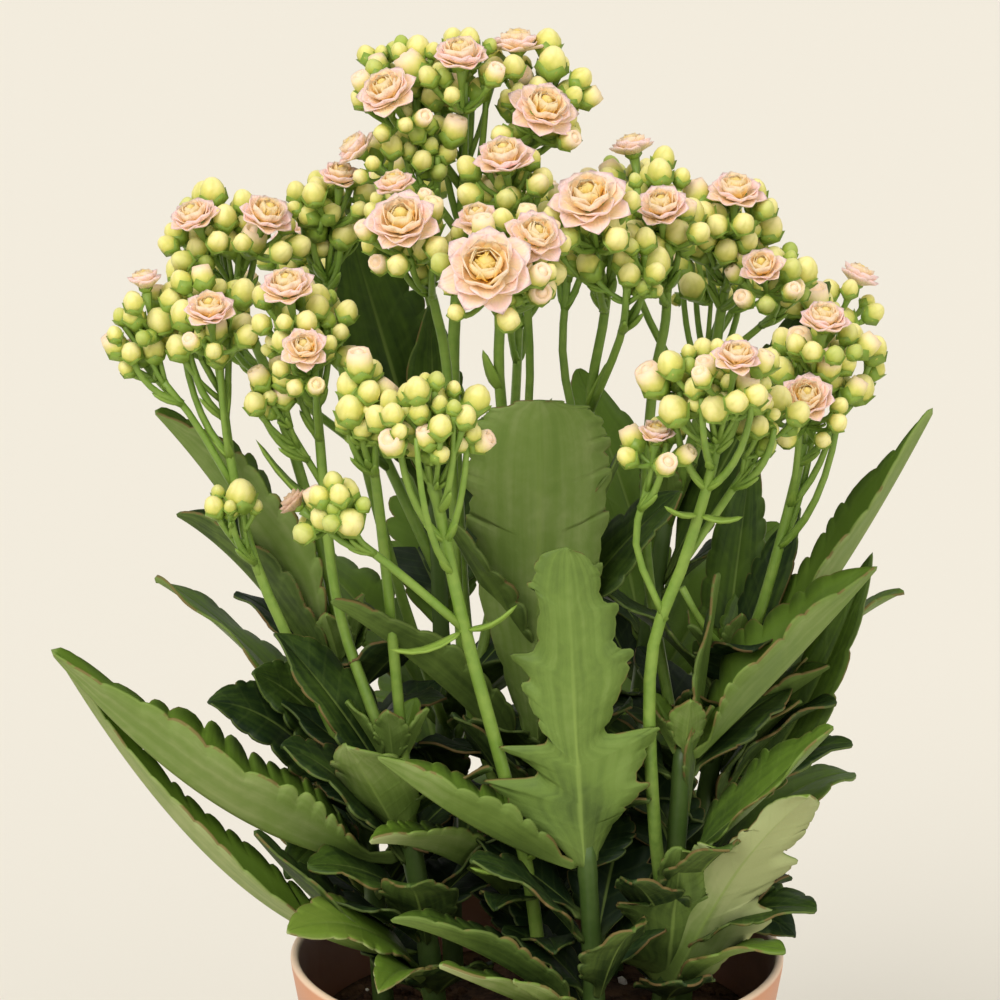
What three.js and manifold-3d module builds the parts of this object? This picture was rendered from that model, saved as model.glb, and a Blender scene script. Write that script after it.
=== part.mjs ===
// A potted kalanchoe with double flowers, in millimetres, +Z up.
// The origin is the centre of the pot's foot, on the surface that the pot stands on.
// Eight leafy stems stand in the soil. Flower stalks branch from them and end in heads of round buds,
// and the open flowers sit on the heads as rosettes.

import * as THREE from 'three';
import { mergeVertices } from 'three/addons/utils/BufferGeometryUtils.js';
import Module from 'manifold-3d';

const wasm = await Module();
wasm.setup();

// ---------------------------------------------------------------- driving dimensions

const GAP = 0.3;                    // air between two pieces that touch

const POT_HEIGHT = 105;
const POT_RIM_RADIUS = 60;
const POT_FOOT_RADIUS = 43;
const POT_WALL = 1.8;
const POT_SIDES = 36;
const SOIL_SIDES = 24;
const RIM_BAND = 13;                // height of the collar under the lip
const RIM_STEP = 1.6;               // how far the collar stands proud of the wall
const FLOOR_THICKNESS = 2.4;
const DRAIN_RADIUS = 4;
const DRAIN_RING = 26;              // the drain holes' distance from the axis
const DRAIN_COUNT = 4;
const DRAIN_SIDES = 8;
const LIP_BEVEL = 1;
const CUT_OVERSHOOT = 1;            // how far a cutting shape reaches past what it cuts

const SOIL_TOP = 86;
const SOIL_MOUND = 2.5;             // how much higher the middle is than the edge
const MOUND_SHARE = 0.6;            // the flat top of the mound, as a share of the soil's radius
const STEM_DEPTH = 62;              // height of the buried lower end of every stem

const STEM_SIDES = 5;
const STALK_SIDES = 4;
const LEAF_TEETH = [[25, 5], [19, 4], [0, 3]];      // for blades at least this wide: teeth on each side
const LEAF_RIB = 2.2;               // thickness along the midrib at the root
const RIB_TAPER = 0.5;              // the share of it that is lost towards the tip
const LEAF_ROOT_OFFSET = 1.5;       // how far off its stem's axis a leaf roots
const LEAF_EDGE_GAP = 0.35;         // half thickness of a clearance blade's margin
const JOINED_VOLUME = 0.05;         // overlap with its stem that makes a piece of leaf part of it, in mm3

const BUD_SIDES = 5;
const BUD_RADIUS = 3.0;
const BUD_SPREAD = 0.2;             // how far a bud's radius may differ, as a share
const BUD_LIFT = 0.5;               // how much a bud turns upwards from its pedicel
const NECK_DROP = 1.1;              // the neck's distance below the middle of a bud, in its radii
const NECK_SWELL = 0.3;             // how much thicker the neck is than the pedicel
const PEDICEL_RADIUS = 0.65;
const PEDICEL_SIDES = 3;
const CALYX_RADIUS = 1.5;           // top of the pedicel under an open flower
const FORK_OFFSET = 0.6;            // how far off its limb's axis a pedicel roots
const FORK_SINK = 2.5;              // how far below a limb's end the highest pedicels root
const FORK_SPREAD = 11;             // the length of limb over which the others root
const FORK_LEVEL = 8;               // how much lower a bud roots that is level with its limb's end
const FORK_SLOPE = 0.6;             // and how much less for each mm that it stands higher
const FORK_LOWEST = 0.5;            // the lowest fork, as a share of the limb from its end
const HEAD_LOW = -0.7;              // the lowest place of a bud in its head, in half heights
const HEAD_INNER = 0.6;             // the innermost place of a bud, as a share of the way out
const FLOWER_CLEAR = 0.42;          // room round an open flower, as a share of its width
const BUD_CLEAR = 0.6;              // and round a bud that is beside one, as a share of its radius
const BUD_ATTEMPTS = 80;            // draws for each bud before its head is taken as full
const BRACT_ROOT = 1;               // radius of a bract at its root
const BRACT_TIP = 0.4;
const BRACT_SAG = 0.12;             // how far a bract hangs down, as a share of its length

const SMALL_FLOWER = 12;            // flowers narrower than this have five petals a ring
const FLOWER_LIFT = 0.25;           // how much a flower turns upwards from its pedicel
const SEAT_SHARE = 0.2;             // a flower's back behind its centre, as a share of its width

const COLOURS = {
  pot: [0xc9835a, 0.55],
  soil: [0x4a3222, 0.95],
  leaf: [0x5c7038, 0.5],
  spray: [0x9aad55, 0.5],
  flower: [0xf8d2bb, 0.6],
};

// ---------------------------------------------------------------- layout, chosen by eye

// Leafy stems: the route of each stem's axis, and its radius at the foot and at the top.
const SHOOTS = {
  left_front: { route: [[-22, -14, STEM_DEPTH], [-26, -16, 110], [-34, -20, 160]], radius: [3.0, 2.3] },
  front: { route: [[14, -28, STEM_DEPTH], [13, -32, 110], [11, -36, 144]], radius: [2.8, 2.2] },
  right_front: { route: [[26, -18, STEM_DEPTH], [31, -21, 110], [34, -24, 164]], radius: [3.0, 2.2] },
  right: { route: [[34, 8, STEM_DEPTH], [38, 6, 120], [46, 2, 176]], radius: [3.0, 2.2] },
  back_right: { route: [[18, 30, STEM_DEPTH], [22, 34, 130], [32, 36, 206]], radius: [3.0, 2.0] },
  back_left: { route: [[-20, 30, STEM_DEPTH], [-22, 34, 130], [-25, 36, 216]], radius: [3.0, 2.0] },
  left: { route: [[-36, 8, STEM_DEPTH], [-40, 6, 120], [-47, 4, 178]], radius: [3.0, 2.2] },
  centre: { route: [[0, 2, STEM_DEPTH], [0, 2, 130], [0, 0, 190]], radius: [3.2, 2.3] },
};

// Leaves: stem, height on it, tip, width, roll in degrees about the midrib, and arch, the midrib's
// bulge as a share of its length. Some have more: a swell over 0.8 moves the widest place towards the
// tip, a fold lifts the margins over the midrib, and an outline is one of those that are cut by hand.
const LEAVES = [
  ['left_front', 134, [-112, -42, 193], 30, 0, -0.13, { fold: 0.95 }],
  ['left_front', 110, [-111, -33, 189], 15, -10, -0.17, { fold: 0.8 }],
  ['left_front', 104, [-66, -44, 150], 16, -20, -0.06, { fold: 0.5 }],
  ['left_front', 103, [-58, -58, 130], 20, -30, 0.12],
  ['left_front', 100, [-37, -62, 117], 14, -10, 0.1, { fold: 0.5 }],
  ['left_front', 137, [-44, -46, 171], 22, 10, 0.02, { swell: 1.1, fold: 0.3 }],
  ['left_front', 150, [-62, -21, 191], 22, -30, 0.05, { fold: 0.3 }],
  ['left_front', 122, [-54, -38, 139], 20, -20, 0.1],
  ['left_front', 132, [-60, -36, 168], 22, -30, 0.1],
  ['left_front', 112, [-30, -54, 140], 20, 0, 0.1],
  ['left', 136, [-78, -18, 173], 22, -50, 0.14],
  ['left', 150, [-68, -10, 178], 20, -60, 0.1],
  ['left', 172, [-90, -6, 241], 23, 0, 0.06, { fold: 1.0 }],
  ['left', 166, [-86, 2, 214], 20, 0, 0.1, { fold: 0.9 }],
  ['left', 146, [-94, 32, 190], 26, 20, 0.08],
  ['left', 116, [-92, 14, 150], 24, 0, 0.14],
  ['left', 108, [-70, 40, 126], 22, 0, 0.18],
  ['front', 138, [-37, -50, 170], 18, 0, -0.06, { fold: 1.0 }],
  ['centre', 112, [-39, -52, 150], 15, 0, 0.08, { fold: 0.9 }],
  ['centre', 150, [-48, -36, 203], 18, 0, 0.04, { fold: 0.8 }],
  ['centre', 170, [-22, -26, 220], 22, -20, 0.04, { fold: 0.3 }],
  ['centre', 152, [0, -26, 248], 35, 4, -0.14, { outline: 'blunt' }],
  ['centre', 184, [22, -16, 239], 20, 20, 0.02],
  ['front', 138, [6, -46, 218.5], 39, 0, -0.06, { outline: 'lobed' }],
  ['front', 98, [-34, -60, 134], 16, 0, 0.06, { fold: 0.7 }],
  ['front', 104, [22, -56, 130], 20, 20, 0.12],
  ['front', 118, [-16, -54, 146], 18, -20, 0.1, { outline: 'plain' }],
  ['front', 97, [-23, -63, 124], 16, 0, 0, { fold: 0.4 }],
  ['front', 97, [-6, -62, 120], 11, 0, 0, { fold: 0.4 }],
  ['centre', 134, [-20, -30, 174], 20, -20, 0.06, { outline: 'plain' }],
  ['centre', 140, [22, -28, 176], 22, 20, 0.06, { outline: 'plain' }],
  ['centre', 108, [-10, -42, 130], 18, 0, 0.12, { outline: 'plain' }],
  ['centre', 124, [26, -34, 154], 21, 0, 0.08, { outline: 'plain' }],
  ['right_front', 160, [79, -20, 207], 24, 0, -0.02, { fold: 0.9 }],
  ['right_front', 134, [68, -40, 174], 22, 25, -0.02, { fold: 0.4 }],
  ['right_front', 102, [61, -64, 165], 28, -42, 0.08, { outline: 'spread' }],
  ['right_front', 106, [33, -44, 146], 34, -10, 0, { outline: 'spread' }],
  ['right_front', 110, [65, -40, 129], 21, 10, 0.12, { swell: 1.1 }],
  ['right_front', 100, [57, -52, 123], 16, 0, 0.12],
  ['right_front', 120, [44, -56, 150], 20, 10, 0.1],
  ['right_front', 144, [42, -22, 206], 18, 20, 0.04],
  ['right_front', 118, [22, -48, 139], 19, 0, 0.06, { outline: 'plain' }],
  ['right', 164, [92, -12, 243], 19, 20, -0.06, { fold: 0.7 }],
  ['right', 140, [80, 4, 204], 17, 60, -0.18, { fold: 0.3 }],
  ['right', 162, [63, 8, 214], 14, 30, 0.06],
  ['right', 156, [70, 0, 177], 13, 0, 0.02, { fold: 0.8 }],
  ['right', 128, [76, 0, 157], 16, 20, 0.16],
  ['right', 132, [63, -6, 170], 18, 0, 0.12],
  ['right', 104, [62, -14, 113], 18, 20, 0.2],
  ['right', 142, [52, 16, 228], 18, 50, 0.02],
  ['right', 148, [90, 28, 188], 24, -20, 0.1],
  ['right', 112, [80, 36, 138], 24, 0, 0.16],
  ['back_right', 186, [70, 24, 266], 20, 50, 0.02],
  ['back_right', 150, [62, 62, 196], 28, 0, 0.1],
  ['back_right', 170, [14, 84, 212], 28, 0, 0.1],
  ['back_right', 130, [34, 84, 152], 28, 0, 0.16],
  ['back_right', 186, [10, 62, 236], 22, 0, 0.06],
  ['back_right', 106, [52, 58, 124], 22, 0, 0.18],
  ['back_left', 206, [-46, 30, 279], 30, -70, 0.02, { swell: 1.0 }],
  ['back_left', 206, [-26, 24, 260], 18, -20, 0.02],
  ['back_left', 150, [-64, 62, 192], 28, 0, 0.1],
  ['back_left', 168, [-26, 88, 208], 28, 0, 0.1],
  ['back_left', 128, [-34, 84, 150], 28, 0, 0.16],
  ['back_left', 108, [-8, 74, 126], 22, 0, 0.18],
  ['back_left', 110, [-52, 56, 124], 22, 0, 0.18],
];

// Outlines cut by hand, for the left and the right margin: the share of the leaf's length and of its half
// width, from the root to the last point before the tip.
const BLUNT_MARGIN = [[0, 0.12], [0.2, 0.2], [0.5, 0.6], [0.78, 0.95], [0.92, 0.97], [0.985, 0.66]];
const PLAIN_MARGIN = [[0, 0.13], [0.14, 0.13], [0.35, 0.85], [0.6, 1], [0.85, 0.65]];
const OUTLINES = {
  lobed: [
    [[0, 0.13], [0.18, 0.5], [0.32, 1.04], [0.35, 0.5], [0.45, 0.86], [0.47, 0.38], [0.65, 0.6],
      [0.72, 0.68], [0.74, 0.42], [0.92, 0.46], [0.98, 0.28]],
    [[0, 0.13], [0.19, 0.5], [0.29, 0.86], [0.36, 0.8], [0.455, 1.02], [0.48, 0.4], [0.71, 0.74],
      [0.74, 0.55], [0.83, 0.6], [0.86, 0.4], [0.96, 0.26]],
  ],
  spread: [
    [[0, 0.2], [0.05, 0.85], [0.12, 0.5], [0.23, 0.86], [0.27, 0.5], [0.49, 0.8], [0.55, 0.36],
      [0.66, 0.36], [0.88, 0.26], [0.98, 0.12]],
    [[0, 0.15], [0.1, 0.6], [0.37, 1], [0.41, 0.62], [0.6, 0.78], [0.65, 0.46], [0.8, 0.48],
      [0.93, 0.34], [0.99, 0.12]],
  ],
  blunt: [BLUNT_MARGIN, BLUNT_MARGIN],
  plain: [PLAIN_MARGIN, PLAIN_MARGIN],
};

// Flower stalks. A limb is a route with its lower and upper radius; the first one is the stalk and the
// others branch from it. A head is the limb that carries it, its centre, its three half sizes and its
// number of buds. A bract is a small leaf: where it sits, its tip and its width.
const SPRAYS = {
  front: {
    limbs: [
      [[[0, -20, STEM_DEPTH], [1, -24, 98], [-3, -30, 138], [-17, -46, 199], [-24, -54, 236]], 1.9, 1.4],
      [[[-17, -46, 199], [-32, -52, 214], [-43, -56, 224]], 1.1, 0.9],
    ],
    heads: [[0, [-24, -58, 251], [13, 8, 10], 6], [1, [-46, -58, 231], [7, 5, 6], 2]],
    bracts: [[[-17, -46, 199], [-34, -52, 196], 3], [[-17, -46, 199], [-5, -50, 206], 3],
      [[-3, -30, 138], [-16, -38, 139], 3], [[-3, -30, 138], [4, -34, 148], 3]],
  },
  front_left: {
    limbs: [
      [[[-28, -17, 125], [-32, -22, 165], [-35, -30, 205], [-37, -42, 231], [-38, -45, 238]], 1.4, 1.1],
    ],
    heads: [[0, [-40, -50, 253], [6, 6, 10], 3]],
    bracts: [],
  },
  left: {
    limbs: [
      [[[-29, -17, 130], [-42, -13, 150], [-48, -12, 163], [-65, -14, 202], [-71, -14, 226], [-74, -14, 250]],
        1.6, 1.1],
      [[[-70, -14, 222], [-80, -14, 240], [-87, -16, 250]], 0.9, 0.8],
      [[[-65, -14, 202], [-69, -17, 213]], 0.9, 0.8],
    ],
    heads: [[0, [-77, -16, 265], [13, 10, 10], 5], [1, [-92, -16, 260], [7, 7, 8], 2],
      [2, [-71, -19, 222], [6, 4, 3], 2]],
    bracts: [],
  },
  left_mid: {
    limbs: [
      [[[-34, -20, 157], [-40, -16, 173], [-46, -12, 190], [-49, -13, 208], [-51, -16, 237], [-52, -20, 250]],
        1.5, 1.1],
      [[[-50, -13, 224], [-58, -20, 240]], 0.9, 0.8],
    ],
    heads: [[0, [-53, -26, 266], [12, 11, 11], 4], [1, [-62, -24, 250], [6, 5, 6], 2]],
    bracts: [[[-50, -14, 220], [-66, -14, 236], 4]],
  },
  upper_left: {
    limbs: [[[[-46, 4, 174], [-51, 9, 200], [-62, 9, 240], [-70, 6, 262], [-72, 4, 270]], 1.5, 1.1]],
    heads: [[0, [-74, 2, 283], [13, 12, 9], 5]],
    bracts: [],
  },
  upper_left_back: {
    limbs: [[[[-22, 34, 150], [-34, 26, 190], [-44, 14, 235], [-49, 8, 262], [-50, 6, 272]], 1.5, 1.1]],
    heads: [[0, [-50, 6, 286], [11, 11, 12], 5]],
    bracts: [],
  },
  top: {
    limbs: [
      [[[0, 2, 130], [-10, 8, 150], [-17, 10, 180], [-20, 8, 242], [-19, 6, 270], [-17, 4, 300]], 1.9, 1.3],
      [[[-18, 5, 292], [-25, 3, 302], [-29, 2, 307]], 1.1, 0.9],
      [[[-17, 4, 288], [-8, 4, 298], [-2, 4, 303]], 1.1, 0.9],
      [[[-18, 5, 280], [-24, -2, 290], [-27, -5, 294]], 1, 0.9],
    ],
    heads: [[0, [-18, 2, 320], [11, 10, 9], 3], [1, [-34, 3, 317], [10, 9, 10], 4],
      [2, [2, 4, 314], [10, 9, 13], 4], [3, [-27, -6, 303], [9, 6, 7], 2]],
    bracts: [],
  },
  centre_left: {
    limbs: [[[[0, 2, 122], [-11, -2, 150], [-18, -3, 180], [-21, -4, 245], [-24, -10, 266], [-26, -13, 273]],
      1.5, 1.1]],
    heads: [[0, [-28, -26, 284], [11, 10, 9], 3]],
    bracts: [],
  },
  centre: {
    limbs: [
      [[[0, 0, 186], [-5, -6, 215], [-9, -12, 247], [-9, -20, 266], [-9, -26, 273]], 1.5, 1.1],
      [[[-5, -5, 212], [-2, 1, 245], [-3, -4, 270], [-5, -8, 284]], 1.1, 0.9],
    ],
    heads: [[0, [-6, -44, 282], [13, 12, 8], 3], [1, [-6, -12, 296], [9, 8, 7], 2]],
    bracts: [[[-9, -12, 247], [-13, -17, 258], 3]],
  },
  centre_right: {
    limbs: [
      [[[0, 2, 140], [8, 4, 170], [11, 2, 200], [12, -4, 241], [15, -8, 262], [16, -11, 272]], 1.5, 1.1],
      [[[12, -1, 224], [6, 3, 250], [7, 5, 272]], 1.1, 0.9],
      [[[12, -4, 240], [18, -16, 258], [20, -22, 268]], 1, 0.9],
    ],
    heads: [[0, [13, -20, 286], [12, 11, 10], 3], [1, [8, 6, 285], [8, 8, 8], 2],
      [2, [22, -28, 279], [7, 7, 7], 2]],
    bracts: [[[12, -4, 241], [17, -7, 254], 5]],
  },
  mid_right: {
    limbs: [
      [[[39, 5, 130], [31, 10, 170], [26, 11, 205], [27, 7, 241], [30, 4, 260], [30, 1, 272]], 1.5, 1.1],
    ],
    heads: [[0, [28, -2, 287], [11, 12, 12], 5]],
    bracts: [],
  },
  upper_right: {
    limbs: [
      [[[32, 36, 202], [37, 30, 222], [42, 21, 246], [44, 16, 262], [45, 13, 269]], 1.5, 1.1],
      [[[42, 21, 246], [52, 14, 256], [57, 10, 262]], 0.9, 0.8],
    ],
    heads: [[0, [45, 8, 282], [13, 12, 11], 5], [1, [59, 6, 271], [6, 6, 7], 2]],
    bracts: [],
  },
  right_front: {
    limbs: [
      [[[31, -23, 115], [27, -30, 150], [26, -35, 189], [33, -42, 214], [38, -48, 234], [40, -51, 245]],
        1.7, 1.2],
      [[[29, -38, 199], [22, -42, 218], [25, -48, 236]], 0.9, 0.8],
      [[[33, -42, 214], [42, -42, 228], [48, -44, 238]], 1, 0.9],
    ],
    heads: [[0, [38, -56, 259], [14, 9, 10], 6], [1, [27, -50, 245], [4, 4, 4], 1],
      [2, [51, -48, 249], [8, 7, 8], 2]],
    bracts: [[[36, -46, 226], [28, -50, 229], 3], [[36, -46, 226], [46, -48, 226], 3]],
  },
  right: {
    limbs: [
      [[[46, 2, 172], [52, -7, 190], [58, -11, 215], [63, -14, 240]], 1.5, 1.1],
      [[[48, -1, 178], [40, -8, 188], [34, -10, 199]], 0.9, 0.8],
    ],
    heads: [[0, [66, -18, 254], [14, 11, 10], 6]],
    bracts: [],
  },
  back_left: {
    limbs: [
      [[[-24, 35, 190], [-36, 42, 215], [-46, 46, 236], [-52, 46, 252]], 1.5, 1.1],
      [[[-36, 42, 215], [-60, 34, 236], [-72, 28, 248]], 1.1, 0.9],
    ],
    heads: [[0, [-54, 47, 268], [13, 12, 11], 3], [1, [-78, 26, 262], [12, 11, 10], 3]],
    bracts: [],
  },
  back: {
    limbs: [
      [[[-22, 34, 140], [-12, 44, 175], [-6, 50, 220], [-4, 52, 258]], 1.5, 1.1],
      [[[-8, 48, 205], [-24, 40, 250], [-29, 36, 272]], 1.1, 0.9],
    ],
    heads: [[0, [-3, 53, 275], [14, 12, 11], 4], [1, [-30, 34, 287], [11, 10, 9], 2]],
    bracts: [[[-6, 50, 220], [4, 56, 230], 4]],
  },
  back_right: {
    limbs: [
      [[[25, 34, 160], [36, 44, 195], [41, 48, 230], [42, 48, 246]], 1.5, 1.1],
      [[[36, 44, 195], [58, 36, 228], [66, 33, 244]], 1.1, 0.9],
      [[[41, 48, 226], [26, 42, 256], [22, 38, 272]], 1, 0.9],
    ],
    heads: [[0, [43, 50, 262], [13, 12, 11], 3], [1, [69, 32, 258], [12, 11, 10], 2],
      [2, [20, 36, 286], [10, 10, 9], 2]],
    bracts: [],
  },
};

// Open flowers: the spray and head that each belongs to, its centre, its width, and how far it has opened
// (1 is flat open, 0 is closed).
const FLOWERS = [
  ['centre', 0, [-12, -62, 286], 19, 1],
  ['centre', 0, [-1, -51, 291], 13, 0.8],
  ['centre_right', 0, [11, -37, 297], 17, 0.9],
  ['centre_left', 0, [-31, -39, 292], 16, 0.6],
  ['centre', 1, [-8, -20, 303], 14, 0.5],
  ['top', 2, [1, -9, 313], 15, 0.9],
  ['top', 2, [-5, 6, 326], 12, 0.8],
  ['top', 0, [-18, -9, 325], 13, 0.5],
  ['top', 1, [-35, -10, 317], 14, 0.7],
  ['top', 3, [-42, -6, 303], 11, 0.5],
  ['centre_left', 0, [-33, -20, 297], 10, 0.5],
  ['centre', 0, [-14, -36, 292], 11, 0.6],
  ['mid_right', 0, [28, -17, 291], 13, 0.5],
  ['mid_right', 0, [22, 8, 301], 11, 0.6],
  ['upper_right', 0, [46, 1, 292], 13, 0.8],
  ['upper_right', 1, [52, -6, 275], 11, 0.5],
  ['upper_left', 0, [-63, -9, 288], 13, 0.7],
  ['upper_left', 0, [-80, -6, 287], 12, 0.6],
  ['upper_left_back', 0, [-46, -4, 296], 10, 0.4],
  ['left_mid', 0, [-53, -44, 264], 11, 0.7],
  ['left_mid', 0, [-57, -35, 276], 13, 0.5],
  ['left', 0, [-75, -31, 270], 12, 0.5],
  ['left', 1, [-91, -14, 273], 9, 0.2],
  ['right', 0, [65, -28, 267], 12, 0.5],
  ['right', 0, [61, -34, 250], 13, 0.4],
  ['right_front', 0, [43, -67, 267], 11, 0.7],
  ['right_front', 1, [26, -53, 246], 9, 0.2],
  ['front', 1, [-55, -52, 230], 8, 0.2],
  ['back', 0, [2, 66, 280], 14, 0.9],
  ['back', 1, [-32, 44, 292], 12, 0.7],
  ['back_left', 0, [-60, 60, 270], 13, 0.8],
  ['back_right', 0, [50, 62, 266], 14, 0.8],
  ['back_right', 1, [78, 38, 264], 11, 0.5],
];

// ---------------------------------------------------------------- small helpers

const MERGE_DISTANCE = 1e-4;
const CURVE_TENSION = 0.5;
const HALVINGS = 24;                // steps to find a height on a curve
const STEEP_SHARE = 0.7;            // a direction that leans this much to y takes x as its reference
const RANDOM_STEP = 16807;
const RANDOM_MODULUS = 2147483647;
let randomState = 4711;

function random() {
  randomState = (randomState * RANDOM_STEP) % RANDOM_MODULUS;
  return randomState / RANDOM_MODULUS;
}

function vector(point) {
  return new THREE.Vector3(point[0], point[1], point[2]);
}

function spline(points) {
  return new THREE.CatmullRomCurve3(points.map(vector), false, 'catmullrom', CURVE_TENSION);
}

// A closed solid from a list of points and a list of corner triples.
function solidFrom(points, faces) {
  const vertProperties = new Float32Array(points.flatMap((point) => [point.x, point.y, point.z]));
  const triVerts = new Uint32Array(faces.flat());
  return new wasm.Manifold(new wasm.Mesh({ numProp: 3, vertProperties, triVerts }));
}

function solidFromGeometry(geometry) {
  geometry.deleteAttribute('normal');
  geometry.deleteAttribute('uv');
  const merged = mergeVertices(geometry, MERGE_DISTANCE);
  const vertProperties = new Float32Array(merged.attributes.position.array);
  const triVerts = new Uint32Array(merged.index.array);
  return new wasm.Manifold(new wasm.Mesh({ numProp: 3, vertProperties, triVerts }));
}

// The largest separate body of a solid: loose scraps and sealed hollows are left out.
function largest(solid) {
  const bodies = solid.decompose();
  return bodies.reduce((best, body) => (body.volume() > best.volume() ? body : best));
}

function fuse(solids) {
  return solids.reduce((whole, solid) => whole.add(solid));
}

// Skin over rings of points, which may have different numbers of corners, or be one point at an end; fans
// close the two ends.
function loft(rings) {
  const faces = [];
  let low = 0;
  for (let ring = 0; ring + 1 < rings.length; ring += 1) {
    const near = rings[ring].length;
    const far = rings[ring + 1].length;
    const high = low + near;
    let i = 0;
    let j = 0;
    while (i < near || j < far) {
      if (j === far || (i < near && (i + 1) / near <= (j + 1) / far)) {
        if (near > 1) faces.push([low + (i % near), low + ((i + 1) % near), high + (j % far)]);
        i += 1;
      } else {
        if (far > 1) faces.push([low + (i % near), high + ((j + 1) % far), high + (j % far)]);
        j += 1;
      }
    }
    low = high;
  }
  for (let side = 1; side + 1 < rings[0].length; side += 1) faces.push([0, side + 1, side]);
  for (let side = 1; side + 1 < rings.at(-1).length; side += 1) faces.push([low, low + side, low + side + 1]);
  return solidFrom(rings.flat(), faces);
}

function ringAround(centre, direction, reference, radius, sides) {
  const across = new THREE.Vector3().crossVectors(reference, direction).normalize();
  const along = new THREE.Vector3().crossVectors(direction, across).normalize();
  return Array.from({ length: sides }, (unused, side) => {
    const angle = (2 * Math.PI * side) / sides;
    const offset = across.clone().multiplyScalar(Math.cos(angle) * radius);
    return centre.clone().add(offset).addScaledVector(along, Math.sin(angle) * radius);
  });
}

function referenceFor(direction) {
  return Math.abs(direction.y) < STEEP_SHARE * direction.length()
    ? new THREE.Vector3(0, 1, 0)
    : new THREE.Vector3(1, 0, 0);
}

// A rod with one stretch from each point of its route to the next, so that what branches off at a point
// roots in it. Clearance makes it fatter and a little longer.
function rod(route, lowRadius, highRadius, sides, clearance = 0) {
  const curve = spline(route);
  const steps = route.length - 1;
  const reference = referenceFor(vector(route[route.length - 1]).sub(vector(route[0])));
  const rings = [];
  for (let step = 0; step <= steps; step += 1) {
    const share = step / steps;
    const centre = curve.getPoint(share);
    const direction = curve.getTangent(share);
    const stretch = (step === 0 ? -clearance : 0) + (step === steps ? clearance : 0);
    centre.addScaledVector(direction, stretch);
    const radius = lowRadius + (highRadius - lowRadius) * share + clearance;
    rings.push(ringAround(centre, direction, reference, radius, sides));
  }
  return loft(rings);
}

// ---------------------------------------------------------------- pot and soil

function lathe(profile, sides) {
  const points = profile.map(([radius, height]) => new THREE.Vector2(radius, height));
  const geometry = new THREE.LatheGeometry(points, sides);
  geometry.rotateX(Math.PI / 2);
  return solidFromGeometry(geometry);
}

function wallRadius(height) {
  return POT_FOOT_RADIUS + (POT_RIM_RADIUS - RIM_STEP - POT_FOOT_RADIUS) * (height / POT_HEIGHT);
}

// The shape of a drain hole, through the floor and a little past both its faces.
function drill(x, y) {
  const length = FLOOR_THICKNESS + 2 * CUT_OVERSHOOT;
  const geometry = new THREE.CylinderGeometry(DRAIN_RADIUS, DRAIN_RADIUS, length, DRAIN_SIDES);
  geometry.rotateX(Math.PI / 2);
  geometry.translate(x, y, FLOOR_THICKNESS / 2);
  return solidFromGeometry(geometry);
}

function makePot() {
  const collarLow = POT_HEIGHT - RIM_BAND;
  const outside = lathe([
    [0, 0],
    [POT_FOOT_RADIUS, 0],
    [wallRadius(collarLow), collarLow],
    [wallRadius(collarLow) + RIM_STEP, collarLow + LIP_BEVEL],
    [POT_RIM_RADIUS, POT_HEIGHT - LIP_BEVEL],
    [POT_RIM_RADIUS - LIP_BEVEL, POT_HEIGHT],
    [0, POT_HEIGHT],
  ], POT_SIDES);
  const inside = lathe([
    [0, FLOOR_THICKNESS],
    [wallRadius(FLOOR_THICKNESS) - POT_WALL, FLOOR_THICKNESS],
    [wallRadius(POT_HEIGHT) - POT_WALL, POT_HEIGHT],
    [wallRadius(POT_HEIGHT) - POT_WALL, POT_HEIGHT + CUT_OVERSHOOT],
    [0, POT_HEIGHT + CUT_OVERSHOOT],
  ], POT_SIDES);
  let pot = outside.subtract(inside);
  for (let hole = 0; hole < DRAIN_COUNT; hole += 1) {
    const angle = (Math.PI * (2 * hole + 1)) / DRAIN_COUNT;
    const x = DRAIN_RING * Math.cos(angle);
    const y = DRAIN_RING * Math.sin(angle);
    pot = pot.subtract(drill(x, y));
  }
  return pot;
}

function soilRadius(height) {
  return wallRadius(height) - POT_WALL - GAP;
}

function makeSoil(stems) {
  const bottom = FLOOR_THICKNESS + GAP;
  const body = lathe([
    [0, bottom],
    [soilRadius(bottom), bottom],
    [soilRadius(SOIL_TOP), SOIL_TOP],
    [soilRadius(SOIL_TOP) * MOUND_SHARE, SOIL_TOP + SOIL_MOUND],
    [0, SOIL_TOP + SOIL_MOUND],
  ], SOIL_SIDES);
  return stems.reduce((soil, stem) => soil.subtract(stem), body);
}

// ---------------------------------------------------------------- leaves

function onStem(shoot, height) {
  const curve = spline(shoot.route);
  let low = 0;
  let high = 1;
  for (let turn = 0; turn < HALVINGS; turn += 1) {
    const middle = (low + high) / 2;
    if (curve.getPoint(middle).z < height) low = middle;
    else high = middle;
  }
  return curve.getPoint(low);
}

// A level step of a given length from one point towards another.
function towards(from, to, step) {
  return new THREE.Vector3(to.x - from.x, to.y - from.y, 0).setLength(step);
}

const PETIOLE_SHARE = 0.14;         // the part of a leaf's length that is its stalk
const PETIOLE_WIDTH = 0.13;         // the stalk's width as a share of the blade's
const FIRST_TOOTH = 0.2;
const LAST_TOOTH = 0.95;
const NOTCH_WIDTH = 0.78;           // width at the notches between the teeth
const PEAK_PLACE = 0.8;             // a tooth's point, as a share of the way from notch to notch
const FULLNESS = 0.75;              // under 1 makes a blade fuller than a sine wave
const PLAIN_SWELL = 0.8;
const PLAIN_FOLD = 0.16;            // how far the margins stand above the midrib, in half widths
const ARCH_REACH = 2;               // the curve's middle point lies this many times as far off as its bulge
const UPRIGHT_SHARE = 0.2;          // a leaf that reaches out less than this faces away from the axis
const RIB_SHARES = [0, 0.22, 0.42, 0.62, 0.82];

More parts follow.
